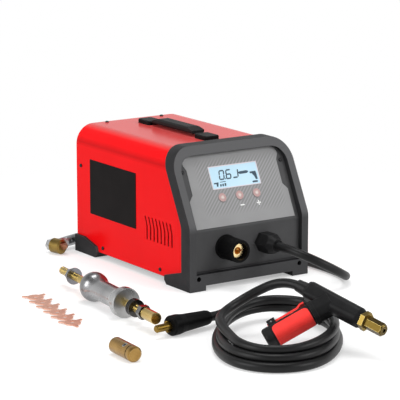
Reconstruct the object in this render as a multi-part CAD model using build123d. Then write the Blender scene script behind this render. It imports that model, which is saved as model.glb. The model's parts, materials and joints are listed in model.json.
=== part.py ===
from build123d import *
import os
from math import cos, degrees, hypot, pi, radians, sin, tan

# Millimetres, Z up, machine front towards -Y, machine centred on its own footprint
# Every node is moved by this point on export, so that the whole set is centred
set_centre = (-159, -241)

# Clearances
running = 0.05
seat = 0.15
loose = 0.3
screw_play = 0.25

# Case
case_length = 390
bezel_width = 256
bezel_height = 246
bezel_radius = 42
bezel_depth = 28
bezel_face = 14
bezel_face_top = 16
bezel_lean = 27
bezel_kink = 113
bezel_kink_radius = 30
rail_bottom = 9
rail_top = 29
ledge = 8
foot_height = 10
foot_width = 34
foot_back = -112
foot_tall = 31
foot_low = 16
foot_corner = 7
rear_foot_tall = 32
rear_foot_long = 78
rear_foot_toe = 21
pan_flange = 22
pan_vents = 6
pan_vent = 5
pan_vent_pitch = 13
pan_vent_from = 47
cover_inset = 5
cover_top = 240
cover_radius = 36
cover_bottom = 11
sheet = 1.5
case_front = -case_length / 2
case_rear = case_length / 2
cover_width = bezel_width - 2 * cover_inset
bezel_back = case_front + bezel_depth
inner_width = cover_width - 2 * sheet - 2 * seat
inner_top = cover_top - sheet - seat
pan_top = foot_height + sheet
rear_wall = case_rear - 4
mouth_width = bezel_width - 2 * bezel_face
mouth_top = bezel_height - bezel_face_top
mouth_radius = bezel_radius - bezel_face
spare = 60

# Rear panel, mains inlet and switch
rear_flange = 18
rear_vents = 9
rear_vent = 4
rear_vent_pitch = 9
rear_vent_low = 80
rear_vent_from = 10
rear_vent_edge = 29
switch_x = -62
switch_z = 170
switch_wide = 20
switch_tall = 28
inlet_x = 68
inlet_z = 48
inlet_radius = 10
inlet_hex = 14
inlet_bore = 4
rocker_pin = 1.5
rocker_sink = 6
rocker_tilt = 10
rocker_half = 10.5
rocker_proud = 6

# Louvres in the cover sides
louvre_count = 8
louvre_pitch = 11.6
louvre_width = 4
louvre_back = 146
louvre_low = 68
louvre_bend = 92
louvre_high = 110
louvre_lean = 6.5

# Screws, as place pairs on the sides and on top
screw_head = 3.6
screw_shank = 1.9
screw_slot = 0.9
rear_screw_in = 16
rear_screw_z = 165
low_screw_z = 21
foot_screw_in = 92
bezel_screw_in = 103
top_screw_x = 61
top_screw_in = 9
side_screws = [(case_rear - rear_screw_in, rear_screw_z), (case_rear - foot_screw_in, low_screw_z),
               (case_front + bezel_screw_in, low_screw_z)]
top_screws = [(-top_screw_x, case_rear - top_screw_in), (top_screw_x, case_rear - top_screw_in)]
front_screw_x = bezel_width / 2 - 19
front_screw_z = 22
front_screw_sink = 11
front_screw_hole = 4.5

# Front panel
panel_recess = 10
panel_sheet = 2
panel_lean = 25.5
panel_kink = 104
panel_bend = 6
panel_gap = 4
panel_y = case_front + panel_recess
panel_thick = panel_sheet * cos(radians(panel_lean))
overlay_sheet = 0.6
lcd_width = 103
lcd_height = 41
lcd_drop = 59
lcd_z = bezel_height - lcd_drop
key_pitch = 37
key_x = (-key_pitch, 0, key_pitch)
key_drop = 92
key_z = bezel_height - key_drop
key_radius = 8.5
key_travel = 0.8
key_proud = 1.2
board_drop = 9
board_sheet = 1.6
board_margin = 27
ear_in = 8.5
ear_drop = 43.5
ear_x = mouth_width / 2 - ear_in
ear_z = bezel_height - ear_drop
side_in = 8
waist_in = 17
shoulder_in = 12
overlay_side = mouth_width / 2 - side_in
overlay_waist = mouth_width / 2 - waist_in
overlay_shoulder = mouth_width / 2 - shoulder_in
cut_start = 54
cut_low = 43
cut_high = 2
cut_end = 12
overlay_low = 4
overlay_high = 3
overlay_corner = 14

# Output socket and earth gland
socket_x = -46
socket_z = 71
socket_radius = 21
socket_reach = 47
socket_sink = 10
socket_bore = 6.5
socket_tube = 13
socket_spigot = 16
socket_back = 15
socket_stud = 8
socket_end = 40
gland_x = 36
gland_z = 70
gland_hex = 19.5
gland_reach = 44
gland_spigot = 12
gland_base = 11
gland_thread = 14
gland_seat = 24
cable_radius = 7.75

# Carrying handle on the cover
handle_front = -78
handle_rear = 152
handle_cap = 40
handle_width = 30
handle_cap_height = 8
cap_screw_x = 8
cap_corner = 5
cap_edge = 1.5
grip_front = -30
grip_rear = 104
grip_width = 27
grip_thick = 11
grip_gap = 5
grip_taper = 18
grip_end = 6
grip_bow = 14
band_width = 20
band_thick = 2.4

# Mains transformer
core_y = 62
core_width = 150
core_height = 120
core_depth = 78
core_limb = 46
core_yoke = 24
core_lift = 4
winding_build = 24
clamp_sheet = 3
clamp_shelf = 18
clamp_bolt_x = core_width / 2 - 15

# Secondary tabs, heat sink and copper bars
tab_x = 38
tab_width = 24
tab_long = 22
tab_sheet = 6
sink_y = -95
sink_half = 30
sink_edge = 16
fin_count = 7
fin_pitch = 9
fin_sheet = 3
fin_high = 30
sink_base = 8
module_width = 44
module_long = 52
module_high = 24
bar = 5
bar_gap = 1
bar_low = 10

# Torch, in its own frame: x to the nose, grip in the xy plane, z across
torch_at = (-137.8, -550.9, 83.1)
torch_heading = -77.4
torch_dip = 13.2
torch_roll = 40.8
barrel_length = 118
barrel_tall = 31
barrel_broad = 29
nose_across = 31
barrel_lip = 5
barrel_edge = 4
nose_long = 8
nose_edge = 7
sleeve = 22
grip_root = 50
grip_slant = 65
grip_long = 120
grip_deep = 33
grip_broad = 30
grip_corner = 11
collar_from = 28
collar_long = 7
end_cap_long = 13
pad_from = 38
pad_to = 103
pad_edge = 7
pad_corner = 8
pad_sheet = 2.5
pad_proud = 0.8
lever_sheet = 4
lever_half = 5
ear_sheet = 4
pivot_s = 98
lever_end = 106
nub_reach = 1.4
thumb_rise = 4
switch_s = 62
trigger_radius = 1.5
stem_radius = 6
stem_from = 26
stem_past = 12
flange_hex = 16
flange_long = 8
chuck_reach = 34
chuck_hex = 11
chuck_bore = 4
chuck_deep = 26
chuck_edge = 3

# Torch cable: an oval coil of three turns lying on the floor
coil_centre = (-186, -535)
coil_heading = 53.5
coil_long = 155
coil_short = 99
coil_half = 11
coil_corner = 6
coil_height = 6 * cable_radius
floor_line = cable_radius + 0.05

# Plug at the end of the torch cable
plug_back = (-226, -394)
plug_tip = (-337, -408.2)
plug_radius = 17
plug_neck = 11.5
plug_pin_radius = 6.4
plug_pin_long = 30
plug_shank = 5
plug_shank_long = 16

# Slide hammer
hammer_tail = (-280, -14)
hammer_heading = 264
hammer_long = 370
hammer_rod = 7
hammer_head = 10
hammer_head_long = 38
hammer_flange = 26
hammer_waist = 18
weight_from = 116
weight_long = 144
weight_rim = 16
weight_bulb = 32
weight_flare = 18
weight_flange = 14
weight_play = 0.08
nut_hex = 13
nut_high = 11
nut_rear = 40
nut_front = 319
ring_radius = 15
ring_sheet = 2.2
ring_places = (51, 286, 291, 296)

# Star washers
washer_count = 6
washer_mid = (-384, -163)
washer_heading = 260
washer_pitch = 36
washer_sheet = 1.7
washer_disc = 14
washer_point = 24
washer_arm = 7
washer_tip = 2
washer_hole = 4.5
washer_gap = 0.03

# Washer holder
holder_mid = (-432, -468)
holder_heading = 266
holder_roll = 28
holder_long = 66
holder_radius = 13
holder_slot = 2.2
slot_floor = 5
slot_back = 9
set_screw_radius = 4.5
set_screw_from = 9
screw_socket = 2.8

# Earth terminal
eye_at = (-172, 203, 14)
eye_heading = 285
lug_end = (-118, 215.5, 16)
terminal_radius = 14
terminal_long = 24
lug_palm = 4
lug_width = 19
palm_reach = 16
crimp_long = 24
crimp_radius = cable_radius + 2.2
bolt_hex = 11
bolt_shank = 5
bolt_head = 8
bolt_end = 16
terminal_edge = 3
tip_long = 12
tip_taper = 18


def prism_x(points, width, x=0):
    face = make_face(Plane.YZ * Polyline(*points, close=True))
    return Pos(x, 0, 0) * extrude(face, width / 2, both=True)


def block(x0, x1, y0, y1, z0, z1):
    return Pos((x0 + x1) / 2, (y0 + y1) / 2, (z0 + z1) / 2) * Box(x1 - x0, y1 - y0, z1 - z0)


def turned(points):
    return revolve(make_face(Plane.XZ * Polyline(*points, close=True)), Axis.Z)


def rod(radius, low, high):
    return Pos(0, 0, low) * Cylinder(radius, high - low, align=(Align.CENTER, Align.CENTER, Align.MIN))


def hexagon(corner, low, high):
    return Pos(0, 0, low) * extrude(RegularPolygon(corner, 6), high - low)


def arch(width, top, bottom, radius, front, rear):
    face = Plane.XZ * Pos(0, (top + bottom) / 2) * Rectangle(width, top - bottom)
    face = fillet(face.vertices().group_by(Axis.Z)[-1], radius)
    return extrude(Pos(0, rear, 0) * face, rear - front)


# Everything ahead of a front face that is upright below its kink and leans back above it
def bent_block(face_y, kink, lean, radius):
    top = bezel_height + spare
    reach = (top - kink) * tan(radians(lean))
    ahead = face_y - bezel_height
    points = [(ahead, -spare), (face_y, -spare), (face_y, kink), (face_y + reach, top), (ahead, top)]
    face = make_face(Plane.YZ * Polyline(*points, close=True))
    corner = face.vertices().sort_by_distance((0, face_y, kink))[0]
    return extrude(fillet(corner, radius), bezel_width, both=True)


def front_of_bezel(y):
    return bent_block(y, bezel_kink, bezel_lean, bezel_kink_radius)


def front_of_panel(y):
    return bent_block(y, panel_kink, panel_lean, panel_bend)


def aim(point, heading, rise=0):
    turn = radians(heading)
    lift = radians(rise)
    way = Vector(cos(turn) * cos(lift), sin(turn) * cos(lift), sin(lift))
    side = Vector(-sin(turn), cos(turn), 0)
    return Plane(origin=point, x_dir=side, z_dir=way)


# A tube along straight runs joined by tangent arcs, with the arc radii printed
def tube(name, points, radius):
    spots = [Vector(*p) for p in points]
    bends = []
    for a, b, c in zip(spots, spots[1:], spots[2:]):
        half = radians((b - a).get_angle(c - b)) / 2
        bends.append(0.45 * min((b - a).length, (c - b).length) / tan(half))
    path = FilletPolyline(*spots, radius=bends)
    solid = sweep(Plane(origin=spots[0], z_dir=spots[1] - spots[0]) * Circle(radius), path=path)
    share = solid.volume / (pi * radius ** 2 * path.length)
    print(name, "length", round(path.length), "tightest", round(min(bends)), "share", round(share, 4))
    return solid


# One node of several equal pieces
def group(pieces):
    return Compound([solid for piece in pieces for solid in piece.solids()])


nodes = {}

# Bezel: a hollow rounded frame cut to the bent front, with feet and a bottom rail
outer = arch(bezel_width, bezel_height, 0, bezel_radius, case_front - 10, 0)
bezel = (outer & front_of_bezel(bezel_back)) - front_of_bezel(case_front)
mouth = arch(mouth_width, mouth_top, rail_top, mouth_radius, case_front - 20, 20)
throat = arch(mouth_width - 2 * ledge, mouth_top - ledge, rail_top + panel_gap + ledge,
              mouth_radius - ledge, case_front - 20, 20)
bezel -= mouth & front_of_panel(panel_y + panel_sheet)
bezel -= throat
inner_foot = bezel_width / 2 - foot_width
bezel -= block(-inner_foot, inner_foot, case_front - 1, bezel_back + 1, -1, rail_bottom)
case_room = block(-cover_width / 2 - seat, cover_width / 2 + seat, bezel_back, case_rear + seat,
                  foot_height, cover_top)
foot_side = [(bezel_back, 0), (foot_back - foot_corner, 0), (foot_back, foot_corner), (foot_back, foot_low),
             (bezel_back, foot_tall)]
for side in (-1, 1):
    foot = prism_x(foot_side, foot_width, side * (bezel_width - foot_width) / 2)
    bezel += foot - case_room
for side in (-1, 1):
    spot = Plane(origin=(side * front_screw_x, case_front, front_screw_z), z_dir=(0, -1, 0))
    bezel -= spot * rod(front_screw_hole, -front_screw_sink, 1)
    bezel -= spot * rod(screw_shank, -bezel_depth - 1, 0)
slope = Plane(origin=(0, panel_y, panel_kink), x_dir=(1, 0, 0),
              z_dir=(0, -cos(radians(panel_lean)), sin(radians(panel_lean))))


def up_slope(z):
    return (z - panel_kink) / cos(radians(panel_lean))


ear_v = up_slope(ear_z)
for side in (-1, 1):
    bezel -= slope * Pos(side * ear_x, ear_v) * rod(screw_shank, -14, 0)
nodes["front_bezel"] = bezel

# Cover: one bent sheet over both sides and the top
cover = arch(cover_width, cover_top, cover_bottom, cover_radius, case_front, case_rear)
cover -= arch(cover_width - 2 * sheet, cover_top - sheet, cover_bottom - 1, cover_radius - sheet,
              case_front - 1, case_rear + 1)
cover -= front_of_bezel(bezel_back + seat)
for n in range(louvre_count):
    y = case_front + louvre_back - n * louvre_pitch
    half = louvre_width / 2
    slot = [(y - half, louvre_low), (y + half, louvre_low), (y + half, louvre_bend),
            (y + half + louvre_lean, louvre_high), (y - half + louvre_lean, louvre_high),
            (y - half, louvre_bend)]
    cover -= prism_x(slot, cover_width + 10)
screw_planes = []
for y, z in side_screws:
    for side in (-1, 1):
        screw_planes.append(Plane(origin=(side * cover_width / 2, y, z), z_dir=(side, 0, 0)))
for x, y in top_screws:
    screw_planes.append(Plane(origin=(x, y, cover_top), z_dir=(0, 0, 1)))
for plane in screw_planes:
    cover -= plane * rod(screw_shank + screw_play, -5, 5)
cap_screws = []
for start in (handle_front, handle_rear - handle_cap):
    for x in (-cap_screw_x, cap_screw_x):
        cap_screws.append(Plane(origin=(x, start + handle_cap / 2, cover_top - sheet), z_dir=(0, 0, -1)))
for plane in cap_screws:
    cover -= plane * rod(screw_shank + screw_play, -5, 5)
nodes["cover"] = cover

# Base pan with side flanges and floor vents
pan = block(-inner_width / 2, inner_width / 2, bezel_back, rear_wall + sheet, foot_height, pan_top)
for side in (-1, 1):
    edge = side * inner_width / 2
    wall = edge - side * sheet
    pan += block(min(edge, wall), max(edge, wall), bezel_back + 8, rear_wall - rear_flange - 2, foot_height,
                 pan_top + pan_flange)
for n in range(pan_vents):
    y = bezel_back + pan_vent_from + pan_vent_pitch * n
    pan -= block(-inner_width / 4, inner_width / 4, y, y + pan_vent, 0, pan_flange)
for plane in screw_planes[2:6]:
    pan -= plane * rod(screw_shank, -8, 0)
nodes["base_pan"] = pan

# Rear panel: a tray with a flange all round
rear = arch(inner_width, inner_top, pan_top, cover_radius - sheet - seat, rear_wall - rear_flange,
            rear_wall + sheet)
rear -= arch(inner_width - 2 * sheet, inner_top - sheet, pan_top + sheet, cover_radius - 2 * sheet - seat,
             rear_wall - 2 * rear_flange, rear_wall)
switch_edge = switch_wide / 2 + loose
switch_end = switch_tall / 2 + loose
rear -= block(switch_x - switch_edge, switch_x + switch_edge, rear_wall - 5, rear_wall + 5,
              switch_z - switch_end, switch_z + switch_end)
rear -= Pos(inlet_x, rear_wall, inlet_z) * Rot(90, 0, 0) * Cylinder(inlet_radius + loose, rear_flange)
for n in range(rear_vents):
    z = rear_vent_low + rear_vent_pitch * n
    rear -= block(rear_vent_from, inner_width / 2 - rear_vent_edge, rear_wall - 5, rear_wall + 5,
                  z, z + rear_vent)
for plane in screw_planes[0:2] + screw_planes[6:8]:
    rear -= plane * rod(screw_shank, -8, 0)
nodes["rear_panel"] = rear

# Rear feet, standing just outside the cover
foot_end = case_rear + 1
foot_start = foot_end - rear_foot_long
foot_cut = foot_corner - 1
rear_foot_side = [(foot_end, 0), (foot_end, rear_foot_tall), (foot_end - 31, rear_foot_tall),
                  (foot_start + 4, rear_foot_toe), (foot_start, rear_foot_toe - 10),
                  (foot_start, foot_cut), (foot_start + foot_cut, 0)]
feet = []
for side in (-1, 1):
    feet.append(prism_x(rear_foot_side, foot_width, side * (bezel_width - foot_width) / 2) - case_room)
nodes["rear_feet"] = group(feet)

# Cross-slotted pan-head screws of the cover, of the bezel and of the front panel
def pan_screw(shank_long, head_high):
    screw = turned([(0, -shank_long), (screw_shank, -shank_long), (screw_shank, 0), (screw_head, 0),
                    (screw_head, head_high / 2), (screw_head * 0.62, head_high), (0, head_high)])
    slot_long = 1.2 * screw_head
    for wide, long in ((screw_slot, slot_long), (slot_long, screw_slot)):
        screw -= Pos(0, 0, head_high) * Box(wide, long, head_high)
    return screw


case_screws = [plane * pan_screw(6, 2.4) for plane in screw_planes]
for side in (-1, 1):
    sunk = case_front + front_screw_sink
    spot = Plane(origin=(side * front_screw_x, sunk, front_screw_z), z_dir=(0, -1, 0))
    case_screws.append(spot * pan_screw(14, 2.6))
    case_screws.append(slope * Pos(side * ear_x, ear_v) * pan_screw(9, 2.2))

# Front panel, bent once, seated on the bezel's ledge
panel = arch(mouth_width - 2 * seat, mouth_top - seat, rail_top + panel_gap, mouth_radius - seat,
             case_front, spare)
panel = (panel & front_of_panel(panel_y + panel_sheet)) - front_of_panel(panel_y)
lcd_v = up_slope(lcd_z)
key_v = up_slope(key_z)
window = slope * Pos(0, lcd_v) * Box(lcd_width + 2 * seat, lcd_height + 2 * seat, 20)
key_holes = [slope * Pos(x, key_v) * Cylinder(key_radius + loose, 20) for x in key_x]
panel -= window
for hole in key_holes:
    panel -= hole
for side in (-1, 1):
    panel -= slope * Pos(side * ear_x, ear_v) * Cylinder(screw_shank + screw_play, 20)
socket_plane = Plane(origin=(socket_x, panel_y, socket_z), x_dir=(1, 0, 0), z_dir=(0, -1, 0))
gland_plane = Plane(origin=(gland_x, panel_y, gland_z), x_dir=(1, 0, 0), z_dir=(0, -1, 0))
panel -= socket_plane * Cylinder(socket_spigot + seat, 20)
panel -= gland_plane * Cylinder(gland_spigot + seat, 20)
nodes["front_panel"] = panel

# Keypad overlay with ear cut-outs beside the panel screws
overlay_right = [(overlay_side, overlay_low), (overlay_side, ear_v - cut_start),
                 (overlay_waist, ear_v - cut_low), (overlay_waist, ear_v + cut_high),
                 (overlay_shoulder, ear_v + cut_end),
                 (overlay_shoulder, up_slope(mouth_top) - overlay_high)]
overlay_left = [(-x, v) for x, v in reversed(overlay_right)]
overlay = make_face(Polyline(*overlay_right, *overlay_left, close=True))
overlay = fillet(overlay.vertices().group_by(Axis.Y)[-1], overlay_corner)
overlay = slope * extrude(overlay, overlay_sheet)
overlay -= window
for hole in key_holes:
    overlay -= hole
nodes["keypad_overlay"] = overlay

# Display lens, display module and control board behind the slanted panel
lens_thick = panel_thick + overlay_sheet
lens = Pos(0, lcd_v, overlay_sheet - lens_thick / 2) * Box(lcd_width, lcd_height, lens_thick)
nodes["display_lens"] = slope * lens
board_face = -panel_thick - board_drop
module = Pos(0, lcd_v, board_face + board_drop / 2) * Box(lcd_width + 10, lcd_height + 8, board_drop)
nodes["lcd_module"] = slope * module
board_width = mouth_width - 2 * board_margin
board_height = lcd_v - key_v + 2 * board_margin
board_v = (lcd_v + key_v) / 2
board = Pos(0, board_v, board_face - board_sheet / 2) * Box(board_width, board_height, board_sheet)
key_stem = board_face + 5
for x in key_x:
    board += Pos(x, key_v) * rod(3.2, board_face, key_stem - key_travel - 0.1)
for x in (key_x[0] / 2, key_x[2] / 2):
    board += Pos(x, key_v, board_face + 3.5) * Box(8, 20, 7)
nodes["control_board"] = slope * board
for name, x in zip(("button_mode", "button_minus", "button_plus"), key_x):
    top = overlay_sheet + key_proud
    brim = -panel_thick - running
    brim_low = brim - 2.15
    cap = turned([(0, key_stem), (3, key_stem), (3, brim_low), (key_radius + 2, brim_low),
                  (key_radius + 2, brim), (key_radius, brim), (key_radius, top - 0.8),
                  (key_radius - 0.8, top), (0, top)])
    nodes[name] = slope * Pos(x, key_v) * cap

# Output socket: insulating collar, brass insert, nuts inside the panel
brass_top = socket_reach - socket_sink
collar_bore = socket_tube + running
collar = turned([(collar_bore, -socket_back), (socket_spigot, -socket_back), (socket_spigot, 0),
                 (socket_radius + 1, 0), (socket_radius + 1, 3), (socket_radius, 4),
                 (socket_radius - 0.5, socket_reach - 1.5), (socket_radius - 2, socket_reach),
                 (socket_tube + 2.5, socket_reach), (socket_tube + 1.5, brass_top), (collar_bore, brass_top)])
nodes["socket_collar"] = socket_plane * collar
insert_flange = socket_back + 3
bore_end = -8
insert = turned([(0, -socket_end), (socket_stud, -socket_end), (socket_stud, -insert_flange),
                 (socket_tube + 3, -insert_flange), (socket_tube + 3, -socket_back),
                 (socket_tube, -socket_back), (socket_tube, brass_top - 0.8), (socket_tube - 0.8, brass_top),
                 (socket_bore, brass_top), (socket_bore, bore_end), (0, bore_end)])
insert -= Pos(socket_bore, 0, brass_top - 6) * Box(5, 3, 14)
nodes["socket_insert"] = socket_plane * insert
socket_nut = hexagon(socket_spigot + 9, -panel_sheet - 7, -panel_sheet) - Cylinder(socket_spigot, spare)
gland_nut_back = hexagon(gland_spigot + 6, -panel_sheet - 5, -panel_sheet) - Cylinder(gland_spigot, spare)
nodes["panel_nuts"] = group([socket_plane * socket_nut, gland_plane * gland_nut_back])

# Earth gland: hexagon body and tapered hexagon nut
gland = hexagon(gland_hex, 0, gland_base) + rod(gland_spigot, -12, 0)
gland += rod(gland_thread, gland_base, gland_seat)
gland -= Cylinder(cable_radius + seat, 2 * spare)
nodes["gland_body"] = gland_plane * gland
nut_from = gland_base + 0.2
nut_body = hexagon(gland_hex, nut_from, gland_reach)
nut_body &= turned([(0, nut_from), (gland_hex, nut_from), (gland_hex, gland_seat + 3),
                    (cable_radius + 3.5, gland_reach), (0, gland_reach)])
nut_body -= rod(gland_thread, 0, gland_seat)
nut_body -= Cylinder(cable_radius + seat, 2 * spare)
nodes["gland_nut"] = gland_plane * nut_body

# Handle: two end caps on the cover and a bowed grip carried by two rubber bands
grip_low = cover_top + grip_gap
for name, start in (("handle_cap_front", handle_front), ("handle_cap_rear", handle_rear - handle_cap)):
    cap_mid = start + handle_cap / 2
    cap = block(-handle_width / 2, handle_width / 2, start, start + handle_cap, cover_top,
                cover_top + handle_cap_height)
    cap = fillet(cap.edges().filter_by(Axis.Z), cap_corner)
    cap = chamfer(cap.faces().sort_by(Axis.Z)[-1].edges(), cap_edge)
    for x in (-cap_screw_x, cap_screw_x):
        cap -= Pos(x, cap_mid, cover_top) * rod(screw_shank, -1, 5)
    nodes[name] = cap
grip_top = grip_low + grip_thick
grip_points = [(grip_front, grip_low), (grip_rear, grip_low), (grip_rear, grip_low + grip_end),
               (grip_rear - grip_taper, grip_top), (grip_front + grip_taper, grip_top),
               (grip_front, grip_low + grip_end)]
grip = prism_x(grip_points, grip_width)
grip = fillet(grip.edges().filter_by(Axis.X).group_by(Axis.Z)[-1], grip_bow)
section = Plane.XZ * Pos(0, grip_low + grip_thick / 2) * RectangleRounded(grip_width, grip_thick, 4)
grip &= extrude(section, case_length, both=True)
nodes["handle_grip"] = grip
for name, y0, y1 in (("handle_band_rear", grip_rear, handle_rear - handle_cap),
                     ("handle_band_front", handle_front + handle_cap, grip_front)):
    nodes[name] = block(-band_width / 2, band_width / 2, y0, y1, grip_low, grip_low + band_thick)
case_screws += [plane * pan_screw(6, 2) for plane in cap_screws]
nodes["case_screws"] = group(case_screws)

# Transformer: laminated core, two windings on the middle limb, clamps
core_z = pan_top + core_lift
core = block(-core_width / 2, core_width / 2, core_y - core_depth / 2, core_y + core_depth / 2, core_z,
             core_z + core_height)
window_wide = (core_width - core_limb - 2 * core_yoke) / 2
window_low = core_z + core_yoke
window_high = core_z + core_height - core_yoke
for side in (-1, 1):
    x0 = side * core_limb / 2
    x1 = side * (core_limb / 2 + window_wide)
    core -= block(min(x0, x1), max(x0, x1), core_y - core_depth, core_y + core_depth,
                  window_low, window_high)
nodes["transformer_core"] = core


def winding(build, low, high):
    ring = RectangleRounded(core_limb + 2 * build, core_depth + 2 * build, build * 0.8)
    ring -= Rectangle(core_limb, core_depth)
    return Pos(0, core_y, low) * extrude(ring, high - low)


window_mid = window_low + 0.55 * (window_high - window_low)
nodes["primary_winding"] = winding(winding_build, window_low, window_mid)
turn_high = (window_high - window_mid) / 2
straps = winding(winding_build - 2, window_mid, window_mid + turn_high - 1)
straps += winding(winding_build - 2, window_mid + turn_high - 1, window_high - 1)
tab_y = core_y - core_depth / 2 - winding_build + 2
tab_z = window_mid + 6
for x in (-tab_x, tab_x):
    straps += block(x - tab_width / 2, x + tab_width / 2, tab_y - tab_long, tab_y + tab_width / 2,
                    tab_z, tab_z + tab_sheet)
nodes["secondary_winding"] = straps

clamps = []
clamp_y = core_depth / 2
for side in (-1, 1):
    y0 = core_y + side * clamp_y
    web_y = y0 + side * clamp_sheet
    shelf_y = y0 + side * clamp_shelf
    angle = block(-core_width / 2, core_width / 2, min(y0, web_y), max(y0, web_y), pan_top,
                  core_z + core_yoke - 4)
    angle += block(-core_width / 2, core_width / 2, min(y0, shelf_y), max(y0, shelf_y), pan_top,
                   pan_top + clamp_sheet)
    for x in (-clamp_bolt_x, clamp_bolt_x):
        angle += Pos(x, web_y, core_z + 10) * Rot(90, 0, 0) * Cylinder(5, 6)
    clamps.append(angle)
nodes["transformer_clamps"] = group(clamps)

# Thyristor module on a finned heat sink
sink_x = sink_half + sink_edge - inner_width / 2
sink_plate = pan_top + fin_high
module_low = sink_plate + sink_base
sink = block(sink_x - sink_half, sink_x + sink_half, sink_y - sink_half, sink_y + sink_half,
             sink_plate, module_low)
for n in range(fin_count):
    x = sink_x + (n - (fin_count - 1) / 2) * fin_pitch
    sink += block(x - fin_sheet / 2, x + fin_sheet / 2, sink_y - sink_half, sink_y + sink_half,
                  pan_top, sink_plate)
nodes["heatsink"] = sink
module_top = module_low + module_high
module_spot = Pos(sink_x, sink_y, module_low + module_high / 2)
nodes["thyristor_module"] = module_spot * Box(module_width, module_long, module_high)

# Copper bars from the secondary to the socket and to the earth lead
stud_y = panel_y + 40
lead_start = panel_y + 14
bar_from = tab_x - tab_width / 2
bar_to = tab_x + tab_width / 2
tab_front = tab_y - tab_long
earth_drop = tab_y - 70
earth_bar_z = gland_z - bar_low
left = block(-bar_to, -bar_from, tab_front, tab_y, tab_z - bar, tab_z)
left += block(-bar_to, -bar_from, tab_front - bar, tab_front, module_top, tab_z)
left += block(sink_x + 13, -bar_from, sink_y - 20, tab_front, module_top, module_top + bar)
front = block(socket_x - 14, socket_x + 12, stud_y, stud_y + bar, socket_z - 16, module_top + bar)
front += block(sink_x - 15, socket_x + 12, stud_y, sink_y - 20 - bar_gap, module_top, module_top + bar)
right = block(bar_from, bar_to, earth_drop, tab_y, tab_z - bar, tab_z)
right += block(bar_from, bar_to, earth_drop - bar, earth_drop, earth_bar_z, tab_z)
right += block(gland_x - 10, gland_x + 10, lead_start, earth_drop, earth_bar_z, earth_bar_z + bar)
nodes["busbars"] = group([left, front, right])

# Mains gland and rocker switch in the rear panel
inlet = Plane(origin=(inlet_x, rear_wall + sheet, inlet_z), z_dir=(0, 1, 0))
mains = hexagon(inlet_hex, 0, 8) + rod(inlet_radius, -12, 0)
mains += turned([(0, 8), (inlet_hex - 2, 8), (inlet_hex - 2, 16), (inlet_hex - 5, 26), (0, 26)])
mains += hexagon(inlet_hex, -sheet - 6, -sheet)
nodes["mains_gland"] = inlet * (mains - rod(inlet_bore, 5, 40))
rocker_y = rear_wall + sheet
half_wide = switch_wide / 2
half_tall = switch_tall / 2
switch_body = block(switch_x - half_wide, switch_x + half_wide, rear_wall - 24, rocker_y,
                    switch_z - half_tall, switch_z + half_tall)
switch_body += block(switch_x - half_wide - 2.5, switch_x + half_wide + 2.5, rocker_y, rocker_y + 2,
                     switch_z - half_tall - 2.5, switch_z + half_tall + 2.5)
switch_body -= block(switch_x - half_wide + 2, switch_x + half_wide - 2, rear_wall - 12, rocker_y + 5,
                     switch_z - half_tall + 2, switch_z + half_tall - 2)
rocker_spot = Pos(switch_x, rocker_y - rocker_sink, switch_z)
switch_body -= rocker_spot * Rot(0, 90, 0) * Cylinder(rocker_pin + running, switch_wide - 1)
nodes["switch_body"] = switch_body
rocker_side = [(-4, -4), (-4, 4), (1, rocker_half), (rocker_proud, rocker_half), (rocker_proud - 1, 0),
               (rocker_proud, -rocker_half), (1, -rocker_half)]
rocker = prism_x(rocker_side, switch_wide - 4 - 2 * loose)
rocker += Rot(0, 90, 0) * Cylinder(rocker_pin, switch_wide - 1.6)
nodes["switch_rocker"] = rocker_spot * Rot(-rocker_tilt, 0, 0) * rocker

# Earth lead from the gland round the far side of the machine to the terminal
gland_mouth = panel_y - gland_reach
earth_route = [
    (gland_x, gland_mouth + 8, gland_z), (gland_x, gland_mouth - 20, gland_z), (43, -283, 66),
    (66, -309, 53), (98, -318, 35), (130, -305, 18), (152, -276, floor_line + 1), (162, -234, floor_line),
    (164, -180, floor_line), (159, -100, floor_line), (165, -10, floor_line), (160, 80, floor_line),
    (162, 160, floor_line), (156, 222, floor_line), (128, 258, floor_line), (84, 274, floor_line),
    (32, 270, floor_line), (-22, 251, 10.5), (-70, 229, 15), lug_end]
nodes["earth_cable"] = tube("earth_cable", earth_route, cable_radius)

# Earth terminal: crimped lug, hexagon bolt, brass terminal and copper tip
eye = Vector(*eye_at)
eye_plane = aim(eye, eye_heading)
palm_way = Vector(*eye_plane.x_dir)
cable_end = Vector(*lug_end)
palm_end = eye + palm_way * palm_reach
crimp_way = (palm_end - cable_end).normalized()
crimp_plane = Plane(origin=cable_end, z_dir=crimp_way)
crimp = crimp_plane * rod(crimp_radius, -3, crimp_long)
crimp -= crimp_plane * rod(cable_radius + seat, -4, 0)
palm_plane = Plane(origin=palm_end, x_dir=eye_plane.z_dir, z_dir=palm_way)
neck_plane = Plane(origin=cable_end + crimp_way * crimp_long, x_dir=eye_plane.z_dir, z_dir=-crimp_way)
neck = loft([palm_plane * Rectangle(lug_palm, lug_width), neck_plane * Circle(crimp_radius)])
palm = rod(lug_width / 2, -lug_palm / 2, lug_palm / 2)
palm += Pos(palm_reach / 2, 0, 0) * Box(palm_reach, lug_width, lug_palm)
lug = crimp + neck + eye_plane * palm
lug -= eye_plane * rod(bolt_shank + screw_play, -10, 10)
nodes["earth_lug"] = lug
palm_face = lug_palm / 2
bolt = hexagon(bolt_hex, -palm_face - bolt_head, -palm_face) + rod(bolt_shank, -palm_face, bolt_end)
nodes["earth_bolt"] = eye_plane * bolt
terminal_end = palm_face + terminal_long
terminal = turned([(bolt_shank, palm_face), (terminal_radius, palm_face),
                   (terminal_radius, terminal_end - terminal_edge),
                   (terminal_radius - terminal_edge, terminal_end), (0, terminal_end), (0, bolt_end + 2),
                   (bolt_shank, bolt_end + 2)])
nodes["earth_terminal"] = eye_plane * terminal
tip_face = make_face(Polyline((-9, -8), (9, -8), (0, 7), close=True))
tip = Pos(0, 0, terminal_end) * extrude(tip_face, tip_long, taper=tip_taper)
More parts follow.
